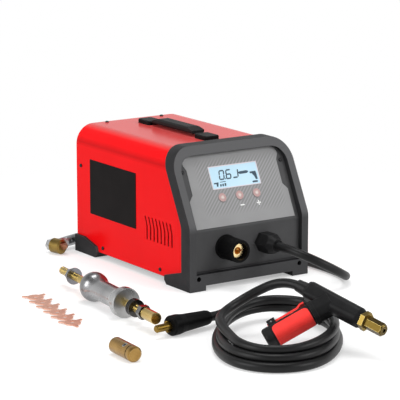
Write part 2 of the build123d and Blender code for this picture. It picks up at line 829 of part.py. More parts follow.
nodes["earth_tip"] = eye_plane * Rot(0, 0, 180) * tip

# Torch in its own frame, then laid on the coil
torch = Pos(*torch_at) * Rot(0, 0, torch_heading) * Rot(0, torch_dip, 0) * Rot(torch_roll, 0, 0)
nose = Rot(0, 90, 0)
slant = radians(grip_slant)
grip_frame = Plane(origin=(grip_root, 0, 0), x_dir=(-sin(slant), cos(slant), 0),
                   z_dir=(-cos(slant), -sin(slant), 0)).location
torch_grip = torch * grip_frame


# A stretch of the grip between two distances from the barrel, grown or shrunk all round
def grip_part(low, high, grow=0):
    profile = RectangleRounded(grip_deep + 2 * grow, grip_broad + 2 * grow, grip_corner + grow)
    return Pos(0, 0, low) * extrude(profile, high - low)


def barrel_section(x, tall, broad, corner):
    return Pos(0, 0, x) * RectangleRounded(broad, tall, corner)


barrel_back = barrel_section(0, barrel_tall - barrel_edge, barrel_broad - barrel_edge, 6)
barrel_full = barrel_section(barrel_lip, barrel_tall, barrel_broad, 9)
nose_full = barrel_section(barrel_length - nose_long, nose_across, nose_across, 12)
nose_face = barrel_section(barrel_length, nose_across - nose_edge, nose_across - nose_edge, 9)
barrel = loft([barrel_back, barrel_full], ruled=True)
barrel += loft([barrel_full, nose_full], ruled=True)
barrel += loft([nose_full, nose_face], ruled=True)
grip_core = grip_long - end_cap_long
torch_body = nose * barrel
torch_body += grip_frame * grip_part(0, collar_from + 1, 1)
torch_body += grip_frame * grip_part(0, grip_core)
torch_body += grip_frame * grip_part(collar_from, collar_from + collar_long, 3)
lever_low = grip_deep / 2 + 3
lever_high = lever_low + lever_sheet
pivot_n = lever_low + lever_sheet / 2
for side in (-1, 1):
    ear = Pos(pivot_n - 2, side * (lever_half + loose + ear_sheet / 2), pivot_s) * Box(14, ear_sheet, 14)
    torch_body += grip_frame * ear
pivot = Pos(pivot_n, 0, pivot_s) * Rot(90, 0, 0)
pivot_long = 2 * (lever_half + loose + ear_sheet)
torch_body -= nose * rod(stem_radius + running, stem_from - 2, barrel_length + 1)
torch_body -= nose * rod(cable_radius + running, -1, stem_from - 2)
switch_n = grip_deep / 2 - 7.5
torch_body -= grip_frame * Pos(switch_n + 2, 0, switch_s) * Box(16, 12 + 2 * seat, 16 + 2 * seat)
torch_body -= grip_frame * pivot * Cylinder(trigger_radius, 2 * pivot_long)

# Inlaid pads that wrap the finger side of the grip, one to each half of the shell
half_room = barrel_length + grip_long
upper_room = block(-half_room, half_room, -half_room, half_room, 0, half_room)
pad_mid = (pad_from + pad_to) / 2
outline = RectangleRounded(grip_long, pad_to - pad_from, pad_corner)
outline = Plane.XZ * Pos(pad_edge - grip_long / 2, pad_mid) * outline
pad_skin = grip_part(pad_from, pad_to, pad_proud) - grip_part(pad_from, pad_to, -pad_sheet)
pad = grip_frame * (pad_skin & extrude(outline, grip_broad, both=True))
torch_body -= pad
nodes["torch_grip_pads"] = group([torch * (pad & upper_room), torch * (pad - upper_room)])
nodes["torch_shell_upper"] = torch * (torch_body & upper_room)
nodes["torch_shell_lower"] = torch * (torch_body - upper_room)
sleeve_root = cable_radius + 4
boot = turned([(cable_radius + running, -sleeve), (cable_radius + 2.2, -sleeve), (sleeve_root, 0),
               (cable_radius + running, 0)])
nodes["torch_sleeve"] = torch * nose * boot
end_cap = grip_part(grip_core, grip_long, 0.5)
end_cap = fillet(end_cap.faces().sort_by(Axis.Z)[-1].edges(), 5)
nodes["torch_end_cap"] = torch_grip * end_cap

# Sprung lever with a kinked thumb end, its pin and the switch under it
nub = lever_low - nub_reach
thumb_low = lever_low + thumb_rise + 1
thumb_high = lever_high + thumb_rise
thumb_end = pad_from
thumb_bend = thumb_end + 7
lever_points = [(lever_low, lever_end), (lever_low, switch_s + 4), (nub, switch_s + 2), (nub, switch_s - 2),
                (lever_low, switch_s - 4), (lever_low, thumb_bend + 6), (thumb_low, thumb_bend - 1),
                (thumb_low, thumb_end), (thumb_high, thumb_end), (thumb_high, thumb_bend),
                (lever_high, thumb_bend + 7), (lever_high, lever_end)]
lever = extrude(make_face(Plane.XZ * Polyline(*lever_points, close=True)), lever_half, both=True)
lever -= pivot * Cylinder(trigger_radius + running, 2 * pivot_long)
nodes["torch_trigger"] = torch_grip * lever
nodes["trigger_pin"] = torch_grip * pivot * Cylinder(trigger_radius, pivot_long)
micro = Pos(switch_n, 0, switch_s) * Box(11, 12, 16)
micro += Pos(switch_n + 5.9, 0, switch_s) * Rot(0, 90, 0) * Cylinder(2, 2.2)
nodes["torch_switch"] = torch_grip * micro

# Brass stem with its hexagon flange, and the chuck screwed on it
chuck_from = barrel_length + flange_long
stem_end = barrel_length + stem_past
stem = rod(stem_radius, stem_from, stem_end) + hexagon(flange_hex, barrel_length, chuck_from)
nodes["torch_stem"] = torch * nose * stem
chuck_to = chuck_from + chuck_reach
chuck = hexagon(chuck_hex, chuck_from, chuck_to)
chuck &= turned([(0, chuck_from), (chuck_hex, chuck_from), (chuck_hex, chuck_to - chuck_edge),
                 (chuck_hex - chuck_edge, chuck_to), (0, chuck_to)])
chuck -= rod(stem_radius, 0, stem_end)
chuck -= rod(chuck_bore, chuck_to - chuck_deep, chuck_to + 1)
nodes["torch_chuck"] = torch * nose * chuck

# Coil of torch cable, as the outer shape of its turns
coil_turn = radians(coil_heading)
coil_plane = Plane(origin=(*coil_centre, 0), x_dir=(cos(coil_turn), sin(coil_turn), 0))
coil = extrude(Ellipse(coil_long + coil_half, coil_short + coil_half), coil_height)
coil -= extrude(Ellipse(coil_long - coil_half, coil_short - coil_half), coil_height)
coil = fillet(coil.edges(), coil_corner)
nodes["torch_coil"] = coil_plane * Pos(0, 0, running) * coil


def coil_point(angle, height):
    turn = radians(angle)
    spot = Pos(coil_long * cos(turn), coil_short * sin(turn), height)
    return tuple((coil_plane.location * spot).position)


# Cable from the torch to the coil, and from the coil to the plug
def torch_point(x):
    return tuple((torch * Pos(x, 0, 0)).position)


gun_route = [torch_point(12 - sleeve), torch_point(-9 - sleeve), (-155, -497, 88.6), (-171.5, -478.5, 78.6),
             (-193, -466.5, 66), (-219, -463, 53.5), (-246, -470, 44.5), (-268, -487, 39.8),
             coil_point(112, 5 * cable_radius)]
nodes["torch_cable"] = tube("torch_cable", gun_route, cable_radius)
plug_route = [coil_point(-25, floor_line), (-62, -408, floor_line), (-75.5, -372.5, floor_line),
              (-107, -352, 8.2), (-145, -355, 10), (-178, -375.5, 13.5), (-204, -390.8, 16),
              (*plug_back, plug_radius)]
nodes["plug_cable"] = tube("plug_cable", plug_route, cable_radius)

# Plug
plug_long = hypot(plug_tip[0] - plug_back[0], plug_tip[1] - plug_back[1])
plug_plane = Plane(origin=(*plug_back, plug_radius + running),
                   z_dir=(plug_tip[0] - plug_back[0], plug_tip[1] - plug_back[1], 0))
plug_front = plug_long - plug_pin_long
shank_end = plug_front - plug_shank_long
plug = turned([(0, 0), (plug_neck, 0), (plug_neck + 1, 5), (plug_radius - 2, shank_end - 12),
               (plug_radius, shank_end), (plug_radius, plug_front - 3), (plug_radius - 2, plug_front),
               (plug_shank, plug_front), (plug_shank, shank_end), (0, shank_end)])
nodes["plug_body"] = plug_plane * plug
pin = turned([(0, shank_end), (plug_shank, shank_end), (plug_shank, plug_front),
              (plug_pin_radius, plug_front), (plug_pin_radius, plug_long - 2),
              (plug_pin_radius - 2, plug_long), (0, plug_long)])
nodes["plug_pin"] = plug_plane * pin

# Slide hammer: a headed rod with nuts and rings, and a weight turned with a bulb, a waist and a flange
hammer_plane = aim((*hammer_tail, hammer_flange), hammer_heading)
head_from = hammer_long - hammer_head_long
shaft = turned([(0, 0), (hammer_rod - 3, 0), (hammer_rod, 4), (hammer_rod, head_from),
                (hammer_head, head_from + 1), (hammer_head, hammer_long - 1), (hammer_head - 1, hammer_long),
                (0, hammer_long)])
nodes["hammer_rod"] = hammer_plane * shaft
weight_to = weight_from + weight_long
weight_bore = hammer_rod + weight_play
bulb_end = weight_from + weight_bulb
waist_from = bulb_end + weight_flare
flange_from = weight_to - weight_flange
waist_to = flange_from - weight_flare
rim_point = (weight_rim, weight_from)
bulb_point = (hammer_flange - 0.4, weight_from + weight_bulb / 2)
neck_point = (hammer_flange - 4, bulb_end)
flange_point = (hammer_flange - 1, flange_from)
weight_line = ThreePointArc(rim_point, bulb_point, neck_point)
waist_start = (hammer_waist, waist_from)
waist_end = (hammer_waist, waist_to)
weight_line += ThreePointArc(neck_point, (hammer_waist + 1, (bulb_end + waist_from) / 2), waist_start)
weight_line += Line(waist_start, waist_end)
weight_line += ThreePointArc(waist_end, (hammer_waist + 2, (waist_to + flange_from) / 2), flange_point)
weight_line += Polyline(flange_point, (hammer_flange, flange_from + 1), (hammer_flange, weight_to - 2),
                        (hammer_flange - 2, weight_to), (weight_bore, weight_to), (weight_bore, weight_from),
                        rim_point)
nodes["hammer_weight"] = hammer_plane * revolve(make_face(Plane.XZ * weight_line), Axis.Z)
hammer_core = rod(hammer_rod, 0, hammer_long)
nuts = [hexagon(nut_hex, place, place + nut_high) - hammer_core for place in (nut_rear, nut_front)]
nuts += [rod(ring_radius, place, place + ring_sheet) - hammer_core for place in ring_places]
nodes["hammer_nuts"] = group([hammer_plane * nut for nut in nuts])

# Star washers shingled in a row
washer_tilt = degrees((washer_sheet + washer_gap) / washer_pitch)
washer_face = Circle(washer_disc)
arm = make_face(Polyline((0, -washer_arm), (washer_point, -washer_tip), (washer_point, washer_tip),
                         (0, washer_arm), close=True))
for n in range(3):
    washer_face += Rot(0, 0, 120 * n) * arm
washer_face -= Circle(washer_hole)
washer = extrude(washer_face, washer_sheet / 2, both=True)
washer = Rot(0, 0, washer_heading) * Rot(0, washer_tilt, 0) * washer
washer_lift = washer_point * sin(radians(washer_tilt)) + washer_sheet / 2
way = radians(washer_heading)
washers = []
for n in range(washer_count):
    reach = (n - (washer_count - 1) / 2) * washer_pitch
    spot = Pos(washer_mid[0] + reach * cos(way), washer_mid[1] + reach * sin(way), washer_lift)
    washers.append(spot * washer)
nodes["star_washers"] = group(washers)

# Washer holder with a cross slot for the washer and a set screw that clamps it
holder_spot = aim((*holder_mid, holder_radius), holder_heading).location * Rot(0, 0, holder_roll)
half = holder_long / 2
holder = turned([(0, -half), (holder_radius - 2, -half), (holder_radius, 2 - half),
                 (holder_radius, half - 3), (holder_radius - 3, half), (0, half)])
slot_to = half - slot_back
holder -= block(-holder_radius, holder_radius, -slot_floor, holder_radius, slot_to - holder_slot, slot_to)
set_spot = Pos(0, 0, set_screw_from) * Rot(-90, 0, 0)
holder -= set_spot * rod(set_screw_radius, 0, holder_radius + 1)
nodes["washer_holder"] = holder_spot * holder
screw_top = holder_radius - 0.5
set_screw = rod(set_screw_radius, 0, screw_top) - hexagon(screw_socket, screw_top - 4, screw_top + 1)
nodes["holder_screw"] = holder_spot * set_spot * set_screw

os.makedirs("parts", exist_ok=True)
for name, solid in nodes.items():
    export_step(Pos(-set_centre[0], -set_centre[1], 0) * solid, "parts/" + name + ".step")
everything = Compound(list(nodes.values())).bounding_box()
print(len(nodes), "nodes", everything.min, everything.max)
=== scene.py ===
import bmesh
import bpy
import json
import numpy as np
from math import radians
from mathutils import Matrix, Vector


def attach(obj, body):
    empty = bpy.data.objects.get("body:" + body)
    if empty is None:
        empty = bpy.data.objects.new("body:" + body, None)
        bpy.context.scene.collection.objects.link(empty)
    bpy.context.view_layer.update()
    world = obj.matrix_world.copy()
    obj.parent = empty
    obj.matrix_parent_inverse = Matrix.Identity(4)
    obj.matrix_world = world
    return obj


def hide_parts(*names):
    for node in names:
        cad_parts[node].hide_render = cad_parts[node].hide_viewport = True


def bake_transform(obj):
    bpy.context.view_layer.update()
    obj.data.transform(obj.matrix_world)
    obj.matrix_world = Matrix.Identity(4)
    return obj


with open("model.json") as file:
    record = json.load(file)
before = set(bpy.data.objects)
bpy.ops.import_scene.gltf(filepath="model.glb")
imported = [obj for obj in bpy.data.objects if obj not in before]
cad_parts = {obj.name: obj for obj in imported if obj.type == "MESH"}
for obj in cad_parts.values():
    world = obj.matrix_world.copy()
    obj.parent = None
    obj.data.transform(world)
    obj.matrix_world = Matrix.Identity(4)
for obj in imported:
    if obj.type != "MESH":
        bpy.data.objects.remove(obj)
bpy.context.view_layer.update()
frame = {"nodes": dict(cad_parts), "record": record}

scene = bpy.context.scene
nodes = frame["nodes"]
print("frame loaded:", len(nodes), "nodes")


# camera, at the photograph's angle on the power unit
cameraSet = {"at": (-2.001, -3.000, 0.959), "tilt": 77.79, "turn": -33.98, "lens": 195.1, "sensor": 36,
             "clipEnd": 60}
cameraData = bpy.data.cameras.new("photoCamera")
cameraData.lens = cameraSet["lens"]
cameraData.sensor_width = cameraSet["sensor"]
cameraData.clip_end = cameraSet["clipEnd"]
camera = bpy.data.objects.new("photoCamera", cameraData)
camera.location = cameraSet["at"]
camera.rotation_euler = (radians(cameraSet["tilt"]), 0, radians(cameraSet["turn"]))
scene.collection.objects.link(camera)
scene.camera = camera
print("camera placed")


# material helpers: one node, and a new finish with the Object coordinates that its patterns start from
def addNode(tree, kind, sockets=None, **settings):
    item = tree.nodes.new("ShaderNode" + kind)
    for key, value in settings.items():
        setattr(item, key, value)
    for key, value in (sockets or {}).items():
        item.inputs[key].default_value = value
    return item


def startFinish(name, rough=0.5, metal=0.0, **sockets):
    finish = bpy.data.materials.new(name)
    finish.use_nodes = True
    tree = finish.node_tree
    shader = tree.nodes["Principled BSDF"]
    shader.inputs["Roughness"].default_value = rough
    shader.inputs["Metallic"].default_value = metal
    for key, value in sockets.items():
        shader.inputs[key.replace("_", " ")].default_value = value
    place = addNode(tree, "TexCoord").outputs["Object"]
    return finish, tree, shader, place


def noiseAt(tree, place, scale, detail=2.0, stretch=None):
    if stretch:
        squeeze = addNode(tree, "Mapping", {"Scale": stretch})
        tree.links.new(place, squeeze.inputs["Vector"])
        place = squeeze.outputs["Vector"]
    noise = addNode(tree, "TexNoise", {"Scale": scale, "Detail": detail})
    tree.links.new(place, noise.inputs["Vector"])
    return noise.outputs["Fac"]


def rampOn(tree, value, stops):
    ramp = addNode(tree, "ValToRGB")
    tree.links.new(value, ramp.inputs["Fac"])
    points = ramp.color_ramp.elements
    while len(points) < len(stops):
        points.new(0.5)
    for point, (spot, shade) in zip(points, stops):
        point.position = spot
        point.color = (*shade, 1)
    return ramp.outputs["Color"]


def rangeOn(tree, value, low, high, fromLow=0.3, fromHigh=0.7):
    limits = {"From Min": fromLow, "From Max": fromHigh, "To Min": low, "To Max": high}
    band = addNode(tree, "MapRange", limits)
    tree.links.new(value, band.inputs["Value"])
    return band.outputs["Result"]


def bumpOn(tree, shader, height, strength, distance):
    bump = addNode(tree, "Bump", {"Strength": strength, "Distance": distance})
    tree.links.new(height, bump.inputs["Height"])
    tree.links.new(bump.outputs["Normal"], shader.inputs["Normal"])


def mathOn(tree, kind, first, second=None, third=None):
    item = addNode(tree, "Math", operation=kind)
    for spot, value in enumerate((first, second, third)):
        if value is None:
            continue
        if isinstance(value, (int, float)):
            item.inputs[spot].default_value = value
        else:
            tree.links.new(value, item.inputs[spot])
    return item.outputs[0]


def mixShade(tree, factor, first, second):
    mix = addNode(tree, "Mix", data_type="RGBA")
    for spot, value in ((0, factor), (6, first), (7, second)):
        if isinstance(value, (tuple, float)):
            mix.inputs[spot].default_value = (*value, 1) if isinstance(value, tuple) else value
        else:
            tree.links.new(value, mix.inputs[spot])
    return mix.outputs[2]


# how far the surface leans away from its own rounded normal, which is high along edges only; it places
# painted highlights along edges
def edgeMask(tree, radius):
    soft = addNode(tree, "Bevel", {"Radius": radius}, samples=4)
    hard = addNode(tree, "NewGeometry")
    dot = addNode(tree, "VectorMath", operation="DOT_PRODUCT")
    tree.links.new(soft.outputs["Normal"], dot.inputs[0])
    tree.links.new(hard.outputs["Normal"], dot.inputs[1])
    return rangeOn(tree, dot.outputs["Value"], 1.0, 0.0, 0.80, 0.99)


# one where the face looks along a direction, falling to nothing as it turns away
def facingMask(tree, way, low, high):
    hard = addNode(tree, "NewGeometry")
    dot = addNode(tree, "VectorMath", {1: way}, operation="DOT_PRODUCT")
    tree.links.new(hard.outputs["Normal"], dot.inputs[0])
    return rangeOn(tree, dot.outputs["Value"], 0.0, 1.0, low, high)


def shiftBy(tree, place, origin):
    shift = addNode(tree, "VectorMath", {1: origin}, operation="SUBTRACT")
    tree.links.new(place, shift.inputs[0])
    return shift.outputs[0]


# distance along an axis through a point, and distance away from that axis
def alongAxis(tree, place, origin, axis):
    dot = addNode(tree, "VectorMath", {1: axis}, operation="DOT_PRODUCT")
    tree.links.new(shiftBy(tree, place, origin), dot.inputs[0])
    return dot.outputs["Value"]


def fromAxis(tree, place, origin, axis):
    cross = addNode(tree, "VectorMath", {1: axis}, operation="CROSS_PRODUCT")
    size = addNode(tree, "VectorMath", operation="LENGTH")
    tree.links.new(shiftBy(tree, place, origin), cross.inputs[0])
    tree.links.new(cross.outputs[0], size.inputs[0])
    return size.outputs["Value"]


def fromPoint(tree, place, point):
    size = addNode(tree, "VectorMath", operation="LENGTH")
    tree.links.new(shiftBy(tree, place, point), size.inputs[0])
    return size.outputs["Value"]


# moulded, painted and rubber surfaces: two shades drift by a broad noise, a fine noise gives the grain; faces
# that look one way can take a painted lit shade, and edges a painted highlight
def grainFinish(name, shade, other, rough, roughMore, broad, fine, lift, edge=None, litFacing=None, **sockets):
    finish, tree, shader, place = startFinish(name, **sockets)
    cloud = noiseAt(tree, place, broad, 4.0)
    colour = rampOn(tree, cloud, [(0.3, shade), (0.7, other)])
    # faces that look along the given way get a painted lit shade, as if lit more from above the front
    if litFacing:
        way, low, high, lit = litFacing
        colour = mixShade(tree, facingMask(tree, way, low, high), colour, lit)
    # edges lighter by a painted highlight
    if edge:
        colour = mixShade(tree, edgeMask(tree, edge[0]), colour, edge[1])
    tree.links.new(colour, shader.inputs["Base Color"])
    grain = noiseAt(tree, place, fine, 3.0)
    tree.links.new(rangeOn(tree, grain, rough, roughMore), shader.inputs["Roughness"])
    bumpOn(tree, shader, grain, lift, 0.0006)
    return finish


# turned and drawn metal: a stretched noise runs along the piece, blotches dull it here and there, and edges
# can take a painted highlight
def metalFinish(name, shade, other, rough, roughMore, stretch, lift, edge=None):
    finish, tree, shader, place = startFinish(name, metal=1.0)
    blotch = noiseAt(tree, place, 45.0, 4.0)
    streak = noiseAt(tree, place, 1.0, 3.0, stretch)
    colour = rampOn(tree, blotch, [(0.32, shade), (0.68, other)])
    # edges lighter by a painted highlight
    if edge:
        colour = mixShade(tree, edgeMask(tree, edge[0]), colour, edge[1])
    tree.links.new(colour, shader.inputs["Base Color"])
    both = mathOn(tree, "MULTIPLY_ADD", streak, 0.6, blotch)
    tree.links.new(rangeOn(tree, both, rough, roughMore, 0.55, 1.05), shader.inputs["Roughness"])
    bumpOn(tree, shader, streak, lift, 0.0002)
    return finish


# one turn in radians, for the sines of bands, stripes and threads
fullTurn = 6.2832


# even bands across one direction, such as sheet edges or wound wire
def bandFinish(name, shade, other, way, pitch, rough, metal=0.0, lift=0.4):
    finish, tree, shader, place = startFinish(name, rough, metal)
    phase = mathOn(tree, "MULTIPLY", alongAxis(tree, place, (0, 0, 0), way), fullTurn / pitch)
    wave = mathOn(tree, "SINE", phase)
    cloud = noiseAt(tree, place, 60.0, 3.0)
    mixed = mathOn(tree, "MULTIPLY_ADD", wave, 0.25, cloud)
    tree.links.new(rampOn(tree, mixed, [(0.25, shade), (0.75, other)]), shader.inputs["Base Color"])
    bumpOn(tree, shader, wave, lift, 0.0003)
    return finish


# sloped face of the front panel: its origin, its two directions and the way it looks
slopeSet = {"origin": (0.159, 0.056, 0.104), "across": (1, 0, 0), "up": (0, 0.4305, 0.9026),
            "out": (0, -0.9026, 0.4305), "displayUp": 0.09196, "keyUp": 0.0554, "keyPitch": 0.037}


# point of the slope that lies so far across and up from its origin
def onSlope(across, up):
    origin, acrossWay, upWay = (np.array(slopeSet[key], float) for key in ("origin", "across", "up"))
    return tuple(origin + across * acrossWay + up * upWay)


# keypad film: plain grey with slanting stripes in the middle field, fading out near the field's edges
filmSet = {"stripe": (136.2, -131.0), "left": -0.082, "right": 0.098, "low": 0.021, "high": 0.129,
           "fade": 0.012}


def filmFinish(name, shade, dark, light):
    finish, tree, shader, place = startFinish(name, Specular_IOR_Level=0.10)
    u = alongAxis(tree, place, slopeSet["origin"], slopeSet["across"])
    v = alongAxis(tree, place, slopeSet["origin"], slopeSet["up"])
    climb = mathOn(tree, "MULTIPLY", v, filmSet["stripe"][1])
    turns = mathOn(tree, "MULTIPLY_ADD", u, filmSet["stripe"][0], climb)
    wave = mathOn(tree, "SINE", mathOn(tree, "MULTIPLY", turns, fullTurn))
    fade = filmSet["fade"]
    field = rangeOn(tree, u, 0.0, 1.0, filmSet["left"], filmSet["left"] + fade)
    for value, limit in ((u, "right"), (v, "high")):
        inside = rangeOn(tree, value, 1.0, 0.0, filmSet[limit] - fade, filmSet[limit])
        field = mathOn(tree, "MULTIPLY", field, inside)
    inside = rangeOn(tree, v, 0.0, 1.0, filmSet["low"], filmSet["low"] + fade)
    field = mathOn(tree, "MULTIPLY", field, inside)
    stripes = rampOn(tree, rangeOn(tree, wave, 0.0, 1.0, -0.8, 0.8), [(0.0, dark), (1.0, light)])
    cloud = noiseAt(tree, place, 30.0, 3.0)
    plain = mixShade(tree, rangeOn(tree, cloud, 0.0, 1.0), shade, tuple(0.93 * c for c in shade))
    tree.links.new(mixShade(tree, field, plain, stripes), shader.inputs["Base Color"])
    grain = noiseAt(tree, place, 1100.0, 2.0)
    tree.links.new(rangeOn(tree, grain, 0.36, 0.46), shader.inputs["Roughness"])
    bumpOn(tree, shader, grain, 0.06, 0.0003)
    return finish


# key cap: whitish dome in the middle, a red ring round it and a greyer rim, by distance from the key's axis
keySet = {"radius": 0.0085, "speck": 0.34, "dome": 4.4,
          "rings": [(0.0, (0.70, 0.64, 0.60)), (0.30, (0.60, 0.50, 0.47)), (0.48, (0.47, 0.31, 0.30)),
                    (0.72, (0.50, 0.29, 0.28)), (0.84, (0.42, 0.29, 0.28)), (1.0, (0.33, 0.29, 0.29))]}


def keyFinish(name, side):
    finish, tree, shader, place = startFinish(name, Specular_IOR_Level=0.2)
    centre = onSlope(side, slopeSet["keyUp"])
    reach = rangeOn(tree, fromAxis(tree, place, centre, slopeSet["out"]), 0.0, 1.0, 0.0, keySet["radius"])
    speck = noiseAt(tree, place, 420.0, 2.0)
    evened = mathOn(tree, "SUBTRACT", reach, keySet["speck"] / 2)
    colour = rampOn(tree, mathOn(tree, "MULTIPLY_ADD", speck, keySet["speck"], evened), keySet["rings"])
    tree.links.new(colour, shader.inputs["Base Color"])
    grain = noiseAt(tree, place, 900.0, 2.0)
    tree.links.new(rangeOn(tree, grain, 0.28, 0.40), shader.inputs["Roughness"])
    dome = mathOn(tree, "COSINE", mathOn(tree, "MULTIPLY", reach, keySet["dome"]))
    bumpOn(tree, shader, dome, 0.5, 0.0006)
    return finish


# slide hammer: shades change along its rod, and a screw thread shows over the given stretches
hammerSet = {"tail": (-0.121, 0.227, 0.026), "way": (-0.10453, -0.99452, 0.0), "length": 0.37,
             "pitch": 0.0016, "threads": ((-0.002, 0.078), (0.270, 0.334))}


def hammerFinish(name, stops, rough, roughMore, threads=(), lift=0.6):
    finish, tree, shader, place = startFinish(name, metal=1.0)
    along = alongAxis(tree, place, hammerSet["tail"], hammerSet["way"])
    blotch = noiseAt(tree, place, 60.0, 4.0)
    share = rangeOn(tree, along, 0.0, 1.0, 0.0, hammerSet["length"])
    shifted = mathOn(tree, "MULTIPLY_ADD", blotch, 0.004, share)
    tree.links.new(rampOn(tree, shifted, stops), shader.inputs["Base Color"])
    tree.links.new(rangeOn(tree, blotch, rough, roughMore), shader.inputs["Roughness"])
    wave = mathOn(tree, "SINE", mathOn(tree, "MULTIPLY", along, fullTurn / hammerSet["pitch"]))
    height = mathOn(tree, "MULTIPLY", noiseAt(tree, place, 1.0, 2.0, (500, 40, 500)), 0.15)
    for start, end in threads:
        after = mathOn(tree, "GREATER_THAN", along, start)
        inside = mathOn(tree, "MULTIPLY", after, mathOn(tree, "LESS_THAN", along, end))
        height = mathOn(tree, "MULTIPLY_ADD", wave, inside, height)
    bumpOn(tree, shader, height, lift, 0.0003)
    return finish


# brass insert of the output socket: pale on the outside and the rim, deep gold down the bore
def socketFinish(name, pale, deep, axisAt, bore):
    finish, tree, shader, place = startFinish(name, 0.24, 1.0)
    reach = fromAxis(tree, place, axisAt, (0, -1, 0))
    blotch = noiseAt(tree, place, 160.0, 3.0)
    uneven = mathOn(tree, "MULTIPLY_ADD", blotch, 0.0006, reach)
    inner = rangeOn(tree, uneven, 0.0, 1.0, bore + 0.0002, bore + 0.0008)
    tree.links.new(mixShade(tree, inner, deep, pale), shader.inputs["Base Color"])
    tree.links.new(inner, shader.inputs["Metallic"])
    tree.links.new(rangeOn(tree, blotch, 0.18, 0.32), shader.inputs["Roughness"])
    ring = noiseAt(tree, place, 1.0, 2.0, (60, 2400, 60))
    bumpOn(tree, shader, ring, 0.12, 0.0002)
    return finish


# crimped lug: dull tin with one pressed-in dent, with painted shade at its bottom
def crimpFinish(name, dentAt, dentSize):
    finish, tree, shader, place = startFinish(name, metal=1.0)
    blotch = noiseAt(tree, place, 130.0, 4.0)
    dull = rampOn(tree, blotch, [(0.3, (0.36, 0.37, 0.38)), (0.7, (0.52, 0.52, 0.53))])
    near = rangeOn(tree, fromPoint(tree, place, dentAt), 1.0, 0.0, 0.4 * dentSize, dentSize)
    tree.links.new(mixShade(tree, near, dull, (0.17, 0.17, 0.175)), shader.inputs["Base Color"])
    tree.links.new(rangeOn(tree, blotch, 0.26, 0.44), shader.inputs["Roughness"])
    dent = mathOn(tree, "MULTIPLY_ADD", near, -1.0, mathOn(tree, "MULTIPLY", blotch, 0.12))
    bumpOn(tree, shader, dent, 0.8, 0.0016)
    return finish


# cover paint: smooth red with a slight orange peel, painted shade where the fold starts, a painted pale
# reflection on top, painted highlights along edges, and rubbed dull in a long patch where the grip lies over
# it
paintSet = {"shade": (0.80, 0.0030, 0.0052), "other": (0.86, 0.0038, 0.0066), "edge": (0.88, 0.015, 0.016),
            "fold": (0.60, 0.0026, 0.0045), "top": (0.58, 0.062, 0.060), "edgeReach": 0.0012,
            "foldStarts": (0.02, 0.16), "foldEnds": (0.20, 0.50), "topStarts": (0.82, 0.998),
            "rough": (0.18, 0.25), "rubbed": 0.85,
            "patch": ((0.1435, 0.1745), (0.196, 0.360)), "patchAbove": 0.2395, "soft": 0.004}


def paintFinish(name, spec):
    finish, tree, shader, place = startFinish(name, Specular_IOR_Level=0.045)
    cloud = noiseAt(tree, place, 9.0, 4.0)
    colour = rampOn(tree, cloud, [(0.3, spec["shade"]), (0.7, spec["other"])])
    up = (0, 0, 1)
    starts, ends = facingMask(tree, up, *spec["foldStarts"]), facingMask(tree, up, *spec["foldEnds"])
    # painted shade in a band along the fold
    colour = mixShade(tree, mathOn(tree, "SUBTRACT", starts, ends), colour, spec["fold"])
    # painted pale reflection on the faces that look up
    colour = mixShade(tree, facingMask(tree, up, *spec["topStarts"]), colour, spec["top"])
    # painted highlight along edges
    colour = mixShade(tree, edgeMask(tree, spec["edgeReach"]), colour, spec["edge"])
    tree.links.new(colour, shader.inputs["Base Color"])
    split = addNode(tree, "SeparateXYZ")
    tree.links.new(place, split.inputs[0])
    patch = mathOn(tree, "GREATER_THAN", split.outputs["Z"], spec["patchAbove"])
    soft = spec["soft"]
    for axis, (low, high) in zip("XY", spec["patch"]):
        for limit, before, after in ((low, 0.0, 1.0), (high, 1.0, 0.0)):
            inside = rangeOn(tree, split.outputs[axis], before, after, limit - soft, limit + soft)
            patch = mathOn(tree, "MULTIPLY", patch, inside)
    peel = noiseAt(tree, place, 380.0, 3.0)
    smooth = rangeOn(tree, peel, *spec["rough"])
    duller = mathOn(tree, "SUBTRACT", spec["rubbed"], smooth)
    tree.links.new(mathOn(tree, "MULTIPLY_ADD", patch, duller, smooth), shader.inputs["Roughness"])
    bumpOn(tree, shader, peel, 0.04, 0.0006)
    return finish


